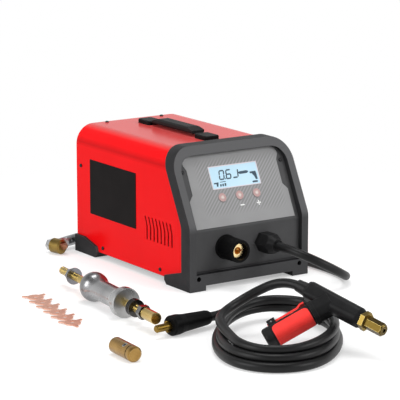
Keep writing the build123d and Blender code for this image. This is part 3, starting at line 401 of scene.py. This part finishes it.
# roughness, streaks and relief that the turned brass pieces share
turnedLook = (0.24, 0.38, (300, 300, 1600), 0.10)
# where a finish is given an edge radius and shade, that shade is a painted highlight along its edges
finishes = {
    "red_paint": paintFinish("redPaint", paintSet),
    # the bezel takes a painted highlight along its edges and a painted lit shade on faces that look out of
    # the slope
    "charcoal": grainFinish(
        "charcoalMoulding", (0.022, 0.022, 0.023), (0.030, 0.030, 0.032), 0.40, 0.55, 30, 1500, 0.22,
        (0.0014, (0.085, 0.085, 0.088)), (slopeSet["out"], 0.80, 1.0, (0.105, 0.105, 0.108)),
        Specular_IOR_Level=0.06),
    "panel_dark": grainFinish(
        "darkPanelPaint", (0.070, 0.070, 0.072), (0.084, 0.084, 0.086), 0.38, 0.48, 20, 900, 0.10,
        Specular_IOR_Level=0.06),
    "overlay_grey": filmFinish(
        "keypadFilm", (0.305, 0.305, 0.308), (0.235, 0.235, 0.238), (0.325, 0.325, 0.328)),
    "lens": grainFinish(
        "displayWindow", (0.48, 0.70, 0.84), (0.53, 0.75, 0.88), 0.08, 0.12, 20, 900, 0.01,
        Specular_IOR_Level=0.10),
    "key_white": keyFinish("keyCapMiddle", 0.0),
    "black_plastic": grainFinish(
        "blackMoulding", (0.0085, 0.0085, 0.009), (0.013, 0.013, 0.0135), 0.36, 0.50, 40, 1600, 0.20,
        (0.0009, (0.040, 0.040, 0.042)), Specular_IOR_Level=0.10),
    "black_rubber": grainFinish(
        "blackRubber", (0.0045, 0.0045, 0.0048), (0.0075, 0.0075, 0.0078), 0.34, 0.46, 26, 1100, 0.12,
        (0.0008, (0.020, 0.020, 0.021)), Specular_IOR_Level=0.24),
    "red_plastic": grainFinish(
        "redMoulding", (0.88, 0.044, 0.038), (0.94, 0.056, 0.048), 0.28, 0.38, 40, 1300, 0.10,
        (0.0010, (0.92, 0.10, 0.09)), Specular_IOR_Level=0.10),
    "brass": metalFinish(
        "turnedBrass", (0.175, 0.105, 0.019), (0.25, 0.155, 0.032), *turnedLook,
        (0.0006, (0.56, 0.40, 0.15))),
    "copper": metalFinish(
        "bareCopper", (0.72, 0.38, 0.27), (0.80, 0.46, 0.345), 0.34, 0.50, (240, 240, 240), 0.10,
        (0.0005, (0.86, 0.58, 0.46))),
    "steel": metalFinish(
        "zincedSteel", (0.40, 0.41, 0.42), (0.54, 0.54, 0.54), 0.20, 0.36, (260, 260, 260), 0.08,
        (0.0005, (0.76, 0.76, 0.76))),
    # along the chrome weight, the darker and lighter bands are painted reflections
    "polished_steel": hammerFinish(
        "turnedSteel",
        [(0.20, (0.26, 0.26, 0.265)), (0.27, (0.13, 0.13, 0.135)), (0.36, (0.20, 0.20, 0.205)),
         (0.44, (0.38, 0.38, 0.385)), (0.55, (0.30, 0.30, 0.305)), (0.62, (0.42, 0.42, 0.42))], 0.24, 0.36),
    "core_steel": bandFinish(
        "coreSheets", (0.08, 0.08, 0.085), (0.16, 0.16, 0.165), (0, 1, 0), 0.0010, 0.5, 0.6),
    "winding": bandFinish(
        "varnishedWire", (0.26, 0.09, 0.03), (0.46, 0.18, 0.07), (0, 0, 1), 0.0018, 0.3),
    "aluminium": metalFinish(
        "extrudedAluminium", (0.58, 0.58, 0.60), (0.68, 0.68, 0.69), 0.30, 0.44, (900, 20, 900), 0.10),
    "board_green": grainFinish(
        "boardLacquer", (0.012, 0.10, 0.04), (0.02, 0.16, 0.06), 0.22, 0.34, 140, 500, 0.10),
}
for row in frame["record"]["subparts"]:
    for holder in nodes[row["node"]].material_slots:
        holder.material = finishes[row["material_slot"]]

# nodes whose own finish departs from the rest of their slot
# here too, an edge radius and shade paint a highlight along the edges
ownFinishes = {
    "case_screws": metalFinish(
        "blackenedSteel", (0.018, 0.018, 0.019), (0.032, 0.032, 0.033), 0.30, 0.46, (300, 300, 300), 0.08,
        (0.0004, (0.10, 0.10, 0.10))),
    "button_mode": keyFinish("keyCapLeft", -slopeSet["keyPitch"]),
    "button_plus": keyFinish("keyCapRight", slopeSet["keyPitch"]),
    "socket_insert": socketFinish(
        "socketBrass", (0.90, 0.70, 0.37), (0.90, 0.40, 0.025), (0.113, 0.0, 0.071), 0.0065),
    "torch_chuck": metalFinish(
        "chuckBrass", (0.056, 0.037, 0.007), (0.095, 0.063, 0.014), *turnedLook,
        (0.0014, (0.60, 0.46, 0.18))),
    "torch_stem": metalFinish(
        "stemBrass", (0.15, 0.101, 0.022), (0.22, 0.152, 0.038), *turnedLook,
        (0.0010, (0.62, 0.48, 0.19))),
    "plug_body": grainFinish(
        "plugRubber", (0.0022, 0.0022, 0.0024), (0.0040, 0.0040, 0.0042), 0.40, 0.54, 30, 1200, 0.12,
        (0.0008, (0.014, 0.014, 0.0145)), Specular_IOR_Level=0.08),
    "earth_terminal": metalFinish(
        "agedBrass", (0.20, 0.135, 0.038), (0.33, 0.22, 0.062), 0.26, 0.44, (500, 500, 500), 0.14,
        (0.0008, (0.50, 0.37, 0.14))),
    "washer_holder": metalFinish(
        "oldBrass", (0.30, 0.175, 0.052), (0.42, 0.26, 0.085), 0.22, 0.40, (900, 60, 900), 0.14,
        (0.0008, (0.66, 0.48, 0.22))),
    "earth_lug": crimpFinish("tinnedLug", (0.0310, 0.4445, 0.0180), 0.0042),
    "earth_tip": metalFinish(
        "agedCopper", (0.30, 0.135, 0.075), (0.42, 0.20, 0.115), 0.30, 0.46, (240, 240, 240), 0.10,
        (0.0005, (0.58, 0.34, 0.22))),
    "hammer_rod": hammerFinish(
        "threadedBrass",
        [(0.0, (0.44, 0.31, 0.085)), (0.5, (0.52, 0.38, 0.12)), (0.9, (0.46, 0.33, 0.10)),
         (1.0, (0.62, 0.45, 0.17))], 0.16, 0.28, hammerSet["threads"]),
    "hammer_nuts": hammerFinish(
        "zincedNuts",
        [(0.0, (0.22, 0.225, 0.24)), (0.40, (0.25, 0.255, 0.27)), (0.60, (0.10, 0.095, 0.09)),
         (0.83, (0.08, 0.078, 0.075)), (0.88, (0.16, 0.155, 0.15)), (1.0, (0.55, 0.55, 0.55))], 0.16, 0.30),
    "socket_collar": grainFinish(
        "collarRubber", (0.0020, 0.0020, 0.0021), (0.0036, 0.0036, 0.0038), 0.42, 0.56, 40, 1300, 0.14,
        (0.0008, (0.014, 0.014, 0.0145)), Specular_IOR_Level=0.06),
    "handle_cap_front": grainFinish(
        "capMoulding", (0.0055, 0.0055, 0.0058), (0.0090, 0.0090, 0.0094), 0.38, 0.52, 60, 1500, 0.16,
        (0.0012, (0.030, 0.032, 0.032)), Specular_IOR_Level=0.05),
    "handle_grip": grainFinish(
        "gripRubber", (0.010, 0.010, 0.0105), (0.016, 0.016, 0.0165), 0.46, 0.60, 60, 1500, 0.20,
        (0.0012, (0.032, 0.032, 0.033)), Specular_IOR_Level=0.12),
}
ownFinishes["handle_cap_rear"] = ownFinishes["handle_cap_front"]
for name, finish in ownFinishes.items():
    for holder in nodes[name].material_slots:
        holder.material = finish
print("finishes on", len(nodes), "nodes")


# cords: one smooth spline each, led by its route points
cordSet = {"steps": 10, "sides": 7, "order": 3}


def layCord(name, points, radius, finish):
    data = bpy.data.curves.new(name, "CURVE")
    data.dimensions = "3D"
    data.resolution_u = cordSet["steps"]
    data.bevel_depth = radius
    data.bevel_resolution = cordSet["sides"]
    data.use_fill_caps = True
    line = data.splines.new("NURBS")
    line.points.add(len(points) - 1)
    flat = np.ones((len(points), 4))
    flat[:, :3] = points
    line.points.foreach_set("co", flat.ravel())
    line.order_u = cordSet["order"]
    line.use_endpoint_u = True
    cord = bpy.data.objects.new(name, data)
    data.materials.append(finish)
    scene.collection.objects.link(cord)
    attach(cord, "set")
    return cord


earthLeadSet = {
    "radius": 0.00775, "length": 1.0, "exit": (0.195, 0.012, 0.070),
    "route": [(0.195, 0.020, 0.070), (0.195, -0.008, 0.070), (0.202, -0.042, 0.066), (0.225, -0.068, 0.053),
              (0.257, -0.077, 0.035), (0.289, -0.064, 0.018), (0.311, -0.035, 0.0088), (0.321, 0.007, 0.0078),
              (0.323, 0.061, 0.0078), (0.318, 0.141, 0.0078), (0.324, 0.231, 0.0078), (0.319, 0.321, 0.0078),
              (0.321, 0.401, 0.0078), (0.315, 0.463, 0.0078), (0.287, 0.499, 0.0078), (0.243, 0.515, 0.0078),
              (0.191, 0.511, 0.0078), (0.137, 0.492, 0.0105), (0.089, 0.470, 0.015), (0.041, 0.4565, 0.016)]}
earthLead = layCord("earthLead", earthLeadSet["route"], earthLeadSet["radius"], finishes["black_rubber"])
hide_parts("earth_cable")

# the torch lead leaves the torch, winds down through the oval turns, each a little wider,
# and runs out to its plug
torchLeadSet = {
    "radius": 0.00775, "length": 2.53, "exit": (0.0165, -0.2890, 0.0881),
    "fromTorch": [(0.0191, -0.3004, 0.0854), (0.0146, -0.2804, 0.0902), (0.0020, -0.2495, 0.0862),
                  (-0.0165, -0.2310, 0.0738), (-0.0400, -0.2200, 0.0603), (-0.0665, -0.2190, 0.0492),
                  (-0.0920, -0.2295, 0.0430), (-0.1120, -0.2510, 0.0393)],
    "toPlug": [(0.1010, -0.1720, 0.0078), (0.0960, -0.1390, 0.0078), (0.0740, -0.1140, 0.0078),
               (0.0420, -0.1040, 0.0084), (0.0080, -0.1120, 0.0105), (-0.0200, -0.1330, 0.0137),
               (-0.0450, -0.1498, 0.0160), (-0.0670, -0.1530, 0.0170)],
    "middle": (-0.027, -0.294), "heading": 53.5, "long": 0.155, "short": 0.099,
    "from": 112, "to": 1055, "step": 24, "slideFrom": 0.72, "sway": 0.0015, "swayRate": 1.31,
    "nested": {"heights": (0.0354, 0.0216, 0.0078), "grow": (-0.015, -0.008, -0.001)},
    "places": ({"at": 175, "wide": 62, "heights": (0.0284, 0.0182, 0.0078),
                "grow": (-0.012, 0.000, 0.012)},
               {"at": 258, "wide": 34, "heights": (0.0383, 0.0230, 0.0078),
                "grow": (-0.005, -0.003, -0.001)})}


# turn angle goes round an oval with fuller ends than an ellipse's: its length beyond a circle grows with
# 1.5 c - 0.5 c^3 of the angle's cosine c, and a slow sine sways it; height and size slide from one turn's
# value to the next over the turn's last part, and the turns nest loosely in each other, but fan out at the
# front and stand square where the torch lies on them
def coilPoints(spec):
    angle = np.arange(spec["from"], spec["to"] + 1, spec["step"], dtype=float)
    turns = np.clip((angle - spec["from"]) / 360, 0, 2)
    whole = np.floor(turns)
    slide = np.clip((turns - whole - spec["slideFrom"]) / (1 - spec["slideFrom"]), 0, 1)
    level, levels = whole + slide * slide * (3 - 2 * slide), (0, 1, 2)
    height, grow = (np.interp(level, levels, spec["nested"][key]) for key in ("heights", "grow"))
    for spot in spec["places"]:
        share = np.exp(-(((angle - spot["at"] + 180) % 360 - 180) / spot["wide"]) ** 2)
        height += share * (np.interp(level, levels, spot["heights"]) - height)
        grow += share * (np.interp(level, levels, spot["grow"]) - grow)
    sway = spec["sway"] * np.sin(np.radians(spec["swayRate"] * angle))
    c, s = np.cos(np.radians(angle)), np.sin(np.radians(angle))
    along = (spec["short"] + grow + sway) * c + (spec["long"] - spec["short"]) * (1.5 * c - 0.5 * c ** 3)
    across = (spec["short"] + grow - sway) * s
    headX, headY = np.cos(radians(spec["heading"])), np.sin(radians(spec["heading"]))
    x = spec["middle"][0] + along * headX - across * headY
    y = spec["middle"][1] + along * headY + across * headX
    return np.stack([x, y, height], axis=1)


torchRoute = np.vstack([torchLeadSet["fromTorch"], coilPoints(torchLeadSet), torchLeadSet["toPlug"]])
torchLead = layCord("torchLead", torchRoute, torchLeadSet["radius"], finishes["black_rubber"])
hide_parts("torch_cable", "torch_coil", "plug_cable")
print("cords laid")


# a grid of points becomes quads: rows follow one parameter, columns the other and close round,
# and end rows are capped
def gridFaces(rows, cols, start=0, capped=True):
    index = start + np.arange(rows * cols).reshape(rows, cols)
    beside = np.roll(index, -1, axis=1)
    quads = np.stack([index[:-1], beside[:-1], beside[1:], index[1:]], axis=-1).reshape(-1, 4).tolist()
    return quads + [index[0, ::-1].tolist(), index[-1].tolist()] if capped else quads


def addPiece(name, points, faces, finish, body="set", crease=35):
    mesh = bpy.data.meshes.new(name)
    mesh.from_pydata(np.asarray(points).reshape(-1, 3).tolist(), [], faces)
    shell = bmesh.new()
    shell.from_mesh(mesh)
    bmesh.ops.remove_doubles(shell, verts=shell.verts, dist=1e-6)
    bmesh.ops.recalc_face_normals(shell, faces=shell.faces)
    shell.to_mesh(mesh)
    shell.free()
    mesh.shade_smooth()
    mesh.set_sharp_from_angle(angle=radians(crease))
    mesh.materials.append(finish)
    piece = bpy.data.objects.new(name, mesh)
    scene.collection.objects.link(piece)
    if body:
        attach(piece, body)
    return piece


def addGrid(name, grid, finish, body="set", capped=True):
    return addPiece(name, grid, gridFaces(*grid.shape[:2], capped=capped), finish, body)


# a flat place (a, b) goes to origin + a * across + b * up + lift * out
def ontoPlane(flat, lift, plane):
    origin, across, up, out = (np.array(plane[key], float) for key in ("origin", "across", "up", "out"))
    flat = np.asarray(flat, float)
    return origin + flat[..., :1] * across + flat[..., 1:] * up + lift * out


# outline of a rounded rectangle: a quarter circle at each corner, in turn order
def roundedOutline(wide, tall, radius, steps=6):
    angle = np.radians(np.linspace(0, 90, steps + 1)[None, :] + 90 * np.arange(4)[:, None])
    x = np.array([1, -1, -1, 1])[:, None] * (wide / 2 - radius) + radius * np.cos(angle)
    y = np.array([1, 1, -1, -1])[:, None] * (tall / 2 - radius) + radius * np.sin(angle)
    return np.stack([x.ravel(), y.ravel()], axis=1)


# rings of one rounded outline, each pulled in by its inset and set at its lift
def ringGrid(wide, tall, radius, rings, plane, leastRadius=0.0002):
    grid = []
    for inset, lift in rings:
        outline = roundedOutline(wide - 2 * inset, tall - 2 * inset, max(radius - inset, leastRadius))
        grid.append(ontoPlane(outline, lift, plane))
    return np.stack(grid)


# keeps the sign and powers the size: under one, it squares a circle off
def powered(value, power):
    return np.sign(value) * np.abs(value) ** power


# bare black plate on the side of the cover
sidePlateSet = {
    "wide": 0.1591, "tall": 0.1028, "radius": 0.0012,
    "rings": ((0, -0.0004), (0, 0.0004), (0.0005, 0.0009)),
    "plane": {"origin": (0.036, 0.30795, 0.1309), "across": (0, -1, 0), "up": (0, 0, 1), "out": (-1, 0, 0)}}
# the plate's edges take a painted highlight
plateFinish = grainFinish(
    "blackPlateEnamel", (0.0060, 0.0046, 0.0046), (0.0085, 0.0066, 0.0066), 0.30, 0.40, 24, 900, 0.08,
    (0.0006, (0.030, 0.022, 0.022)), Specular_IOR_Level=0.03)
addGrid("sidePlate", ringGrid(**sidePlateSet), plateFinish)

# display: a pale border round the window, and dark marks on it, in millimetres from its lower left corner
displaySet = {
    "wide": 103.0, "tall": 41.0, "face": 0.6, "sunk": 0.3, "proud": 0.12, "stroke": 2.5, "slant": 0.14,
    "borderOut": 1.2, "borderCorner": 0.8,
    "borderRings": ((0, 0.3), (0, 0.9), (0.4, 1.0), (1.7, 0.8), (1.7, 0.3), (0, 0.3)),
    "digits": ((18.8, 16.4, "abcdef"), (33.4, 16.4, "acdefg")), "digitWide": 9.4, "digitTall": 15.6,
    "bars": (((47.6, 16.8), (57.6, 16.8), 2.6), ((58.4, 16.9), (60.6, 31.4), 2.6),
             ((17.4, 11.6), (30.0, 11.9), 1.2), ((85.6, 4.7), (98.2, 4.7), 3.4)),
    "shapes": ([(60.6, 23.3), (64.0, 21.6), (78.4, 21.8), (82.0, 23.6),
                (82.0, 25.4), (78.4, 27.0), (64.0, 26.6), (60.6, 25.4)],
               [(84.8, 23.6), (97.6, 23.8), (98.4, 19.5), (98.6, 8.6),
                (94.6, 8.2), (92.6, 14.6), (88.8, 20.0), (84.8, 20.4)],
               [(4.2, 11.6), (14.4, 11.8), (13.6, 8.8), (12.0, 4.2),
                (8.8, 4.2), (9.6, 8.4), (7.4, 9.2), (4.2, 9.2)],
               [(16.0, 3.8), (19.2, 3.8), (19.8, 8.0), (16.6, 8.0)],
               [(20.8, 3.8), (24.0, 3.8), (24.6, 8.2), (21.4, 8.2)],
               [(25.6, 3.8), (29.0, 3.8), (29.8, 8.8), (26.4, 8.8)],
               [(30.2, 15.4), (32.0, 15.4), (32.3, 17.6), (30.5, 17.6)])}
displayPlane = dict(slopeSet, origin=onSlope(0, slopeSet["displayUp"]))
markFinish = grainFinish(
    "displayMarks", (0.045, 0.075, 0.105), (0.060, 0.095, 0.130), 0.30, 0.40, 60, 1200, 0.03,
    Specular_IOR_Level=0.10)
borderFinish = grainFinish(
    "displayBorder", (0.66, 0.62, 0.68), (0.72, 0.68, 0.73), 0.30, 0.40, 60, 1200, 0.03,
    Specular_IOR_Level=0.10)
segmentEnds = {"a": ((0, 1), (1, 1)), "b": ((1, 1), (1, 0.5)), "c": ((1, 0.5), (1, 0)), "d": ((0, 0), (1, 0)),
               "e": ((0, 0.5), (0, 0)), "f": ((0, 1), (0, 0.5)), "g": ((0, 0.5), (1, 0.5))}


# a bar from one point to another, pointed at both ends by half its stroke
def barOutline(start, end, stroke):
    start, end = np.array(start, float), np.array(end, float)
    way = (end - start) / np.linalg.norm(end - start)
    inner, side = way * stroke / 2, np.array([-way[1], way[0]]) * stroke / 2
    left, right = inner + side, inner - side
    return np.array([start, start + left, end - right, end, end - left, start + right])


# lit segments of one digit: the unit square's edges scaled to the digit, leaning by the slant
def digitOutlines(spec, left, low, segments):
    scale = np.array([spec["digitWide"], spec["digitTall"]])
    outlines = [barOutline(*(np.array(segmentEnds[key]) * scale), spec["stroke"]) for key in segments]
    return [line + np.stack([left + spec["slant"] * line[:, 1], np.full(len(line), low)], axis=1)
            for line in outlines]


# every outline is carried from just below the surface to just above it
def addMarks(name, outlines, plane, spec, finish):
    lifts = ((spec["face"] - spec["sunk"]) / 1000, (spec["face"] + spec["proud"]) / 1000)
    points, faces, start = [], [], 0
    for outline in outlines:
        points += [ontoPlane(outline, lift, plane) for lift in lifts]
        faces += gridFaces(2, len(outline), start)
        start += 2 * len(outline)
    addPiece(name, np.vstack(points), faces, finish)


marks = [outline for digit in displaySet["digits"] for outline in digitOutlines(displaySet, *digit)]
marks += [barOutline(*bar) for bar in displaySet["bars"]]
marks += [np.array(shape) for shape in displaySet["shapes"]]
marks = [(outline - (displaySet["wide"] / 2, displaySet["tall"] / 2)) / 1000 for outline in marks]
addMarks("displayMarks", marks, displayPlane, displaySet, markFinish)
borderSize = [(displaySet[key] + displaySet["borderOut"]) / 1000 for key in ("wide", "tall")]
borderRings = np.array(displaySet["borderRings"]) / 1000
borderGrid = ringGrid(*borderSize, displaySet["borderCorner"] / 1000, borderRings, displayPlane)
addGrid("displayBorder", borderGrid, borderFinish, capped=False)

# printed signs below the middle and right keys, rounded bars, in millimetres from the slope's origin
signSet = {"long": 8.8, "stroke": 2.3, "corner": 0.6, "face": 0.6, "sunk": 0.3, "proud": 0.1,
           "minus": (1.2, 37.3), "plus": (36.8, 37.2)}
signFinish = grainFinish(
    "whitePrint", (0.80, 0.80, 0.79), (0.86, 0.86, 0.85), 0.40, 0.50, 60, 1200, 0.03,
    Specular_IOR_Level=0.10)
level = roundedOutline(signSet["long"], signSet["stroke"], signSet["corner"])
upright = roundedOutline(signSet["stroke"], signSet["long"], signSet["corner"])
signs = [(level + signSet["minus"]) / 1000, (level + signSet["plus"]) / 1000,
         (upright + signSet["plus"]) / 1000]
addMarks("keySigns", signs, slopeSet, signSet, signFinish)
print("front marks printed")


# rubber bands of the handle: a squared-off oval section, its cosine and sine powered down, carried from
# the end cap to the grip, with shallow folds across that follow a squared sine
bandSet = {"x": 0.159, "half": 0.0100, "low": 0.2450, "thick": 0.0024, "folds": 2, "fold": 0.00045,
           "rows": 25, "columns": 48, "power": 1 / 3, "into": 0.0004,
           "ends": (("bandRear", "handle_band_rear", 0.353, 0.345),
                    ("bandFront", "handle_band_front", 0.203, 0.211))}


def bandGrid(spec, start, end):
    along = np.linspace(0, 1, spec["rows"])[:, None]
    turn = np.linspace(0, 2 * np.pi, spec["columns"], endpoint=False)[None, :]
    pinch = spec["fold"] * np.sin(np.pi * spec["folds"] * along) ** 2
    half = spec["thick"] / 2
    x = spec["x"] + (spec["half"] - pinch) * powered(np.cos(turn), spec["power"])
    z = spec["low"] + half + (half - pinch) * powered(np.sin(turn), spec["power"])
    y = start + (end - start) * along + 0 * turn
    return np.stack([x, y, z], axis=-1)


for name, node, capY, gripY in bandSet["ends"]:
    way = np.sign(gripY - capY)
    grid = bandGrid(bandSet, capY - way * bandSet["into"], gripY + way * bandSet["into"])
    band = addGrid(name, grid, finishes["black_rubber"], None)
    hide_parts(node)
    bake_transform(band)

# torch screws: a turned profile of distance and height, swung round its axis on the barrel's flank
torchSet = {"at": (0.0212, -0.3099, 0.0831), "heading": -77.4, "dip": 13.2, "roll": 40.8,
            "screws": ((0.101, -0.0154, 0.0005), (0.021, -0.0154, 0.0010)),
            "profile": ((0, 0.10), (1.9, 0.10), (2.1, 0.50), (2.7, 0.55), (3.2, 0.30),
                        (3.4, -0.60), (0, -0.60))}


# turn about one axis: the other two swing by the angle's cosine and sine
def turnMatrix(angle, axis):
    c, s = np.cos(radians(angle)), np.sin(radians(angle))
    turn = np.eye(3)
    first, second = (axis + 1) % 3, (axis + 2) % 3
    turn[first, first], turn[first, second], turn[second, first], turn[second, second] = c, -s, s, c
    return turn


def turnedGrid(profile, centre, axes, count=32):
    reach, height = np.array(profile, float).T / 1000
    turn = np.linspace(0, 2 * np.pi, count, endpoint=False)
    side = np.cos(turn)[:, None] * axes[0] + np.sin(turn)[:, None] * axes[1]
    return centre + reach[:, None, None] * side[None] + height[:, None, None] * axes[2]


torchTurn = np.eye(3)
for axis, key in ((2, "heading"), (1, "dip"), (0, "roll")):
    torchTurn = torchTurn @ turnMatrix(torchSet[key], axis)
screwAxes = (torchTurn[:, 0], torchTurn[:, 2], -torchTurn[:, 1])
for count, spot in enumerate(torchSet["screws"], 1):
    grid = turnedGrid(torchSet["profile"], np.array(torchSet["at"]) + torchTurn @ np.array(spot), screwAxes)
    addGrid("torchScrew%d" % count, grid, ownFinishes["case_screws"])

# keys of the plug pin: latitude and longitude powered down, so that the rounded block's faces go nearly flat
plugKeySet = {"root": (-0.067, -0.153, 0.01705), "way": (-0.99192, -0.12690, 0.0),
              "along": 0.0865, "reach": 0.0066, "half": (0.0042, 0.0022, 0.0028), "power": 0.3,
              "leans": (("plugKeyUpper", 75), ("plugKeyLower", 255))}


def blockGrid(centre, axes, half, power, rows=17, cols=32):
    rise = np.linspace(-np.pi / 2, np.pi / 2, rows)[:, None]
    turn = np.linspace(0, 2 * np.pi, cols, endpoint=False)[None, :]
    a = powered(np.cos(rise), power) * powered(np.cos(turn), power)
    b = powered(np.cos(rise), power) * powered(np.sin(turn), power)
    c = powered(np.sin(rise), power) + 0 * turn
    return centre + sum(part[..., None] * size * axis for part, size, axis in zip((a, b, c), half, axes))


plugWay = np.array(plugKeySet["way"])
plugSide = np.array([plugWay[1], -plugWay[0], 0])
for name, lean in plugKeySet["leans"]:
    out = np.cos(radians(lean)) * plugSide + np.sin(radians(lean)) * np.array([0, 0, 1.0])
    centre = np.array(plugKeySet["root"]) + plugKeySet["along"] * plugWay + plugKeySet["reach"] * out
    grid = blockGrid(centre, (plugWay, np.cross(out, plugWay), out), plugKeySet["half"], plugKeySet["power"])
    addGrid(name, grid, finishes["brass"])
print("small pieces fitted")


# stage: a pale floor that keeps the shadow, and a soft studio round it
stageSet = {
    "floorSize": 9.0, "floorDrop": 0.0003, "floorShade": 0.64, "floorLift": 0.40,
    "plainFrom": 0.55, "plainTo": 1.15, "middle": (0.05, 0.0, 0.0),
    "sky": 0.60, "overhead": 0.30, "horizon": (0.30, 0.70),
    "lamps": (("keyLamp", (1.6, -2.6, 1.9), (0.1, 0.0, 0.1), 1.6, 46),
              ("fillLamp", (-2.8, 0.3, 1.3), (0.1, 0.1, 0.1), 1.8, 44),
              ("topLamp", (0.1, 0.3, 2.8), (0.1, 0.1, 0.0), 1.2, 30))}
floorMesh = bpy.data.meshes.new("floor")
h, drop = stageSet["floorSize"], stageSet["floorDrop"]
floorMesh.from_pydata([(-h, -h, -drop), (h, -h, -drop), (h, h, -drop), (-h, h, -drop)], [], [(0, 1, 2, 3)])
floor = bpy.data.objects.new("floor", floorMesh)
scene.collection.objects.link(floor)


def seenDirectly(tree):
    path = addNode(tree, "LightPath")
    seen = mathOn(tree, "MAXIMUM", path.outputs["Is Camera Ray"], path.outputs["Is Glossy Ray"])
    return mathOn(tree, "MAXIMUM", seen, path.outputs["Is Transmission Ray"])


# seen directly, the floor is its lit shade plus a lift near the object, and plain white further out
floorFinish = bpy.data.materials.new("paleFloor")
floorFinish.use_nodes = True
tree = floorFinish.node_tree
tree.nodes.remove(tree.nodes["Principled BSDF"])
place = addNode(tree, "TexCoord").outputs["Object"]
seen = seenDirectly(tree)
plain = addNode(tree, "BsdfDiffuse", {"Color": (*[stageSet["floorShade"]] * 3, 1)})
glow = addNode(tree, "Emission", {"Color": (1, 1, 1, 1)})
tree.links.new(mathOn(tree, "MULTIPLY", seen, stageSet["floorLift"]), glow.inputs["Strength"])
both = addNode(tree, "AddShader")
tree.links.new(plain.outputs[0], both.inputs[0])
tree.links.new(glow.outputs[0], both.inputs[1])
white = addNode(tree, "Emission", {"Color": (1, 1, 1, 1), "Strength": 1.0})
away = fromPoint(tree, place, stageSet["middle"])
far = rangeOn(tree, away, 0.0, 1.0, stageSet["plainFrom"], stageSet["plainTo"])
outward = addNode(tree, "MixShader")
tree.links.new(mathOn(tree, "MULTIPLY", seen, far), outward.inputs[0])
tree.links.new(both.outputs[0], outward.inputs[1])
tree.links.new(white.outputs[0], outward.inputs[2])
tree.links.new(outward.outputs[0], tree.nodes["Material Output"].inputs["Surface"])
floorMesh.materials.append(floorFinish)

# seen or mirrored, the room is white round the horizon and dimmer overhead; as light it is an even grey
studio = bpy.data.worlds.new("studio")
scene.world = studio
studio.use_nodes = True
tree = studio.node_tree
soft = tree.nodes["Background"]
soft.inputs["Color"].default_value = (1, 1, 1, 1)
soft.inputs["Strength"].default_value = stageSet["sky"]
white = addNode(tree, "Background", {"Color": (1, 1, 1, 1)})
height = addNode(tree, "SeparateXYZ")
tree.links.new(addNode(tree, "TexCoord").outputs["Generated"], height.inputs[0])
dimmed = rangeOn(tree, height.outputs["Z"], 1.0, stageSet["overhead"], *stageSet["horizon"])
tree.links.new(dimmed, white.inputs["Strength"])
pick = addNode(tree, "MixShader")
tree.links.new(seenDirectly(tree), pick.inputs[0])
tree.links.new(soft.outputs[0], pick.inputs[1])
tree.links.new(white.outputs[0], pick.inputs[2])
tree.links.new(pick.outputs[0], tree.nodes["World Output"].inputs["Surface"])


def softLamp(name, at, aim, size, watts):
    data = bpy.data.lights.new(name, "AREA")
    data.size = size
    data.energy = watts
    lamp = bpy.data.objects.new(name, data)
    lamp.location = at
    lamp.rotation_euler = (Vector(aim) - Vector(at)).to_track_quat("-Z", "Y").to_euler()
    scene.collection.objects.link(lamp)


for lampRow in stageSet["lamps"]:
    softLamp(*lampRow)
scene.view_settings.view_transform = "Standard"
print("stage lit")
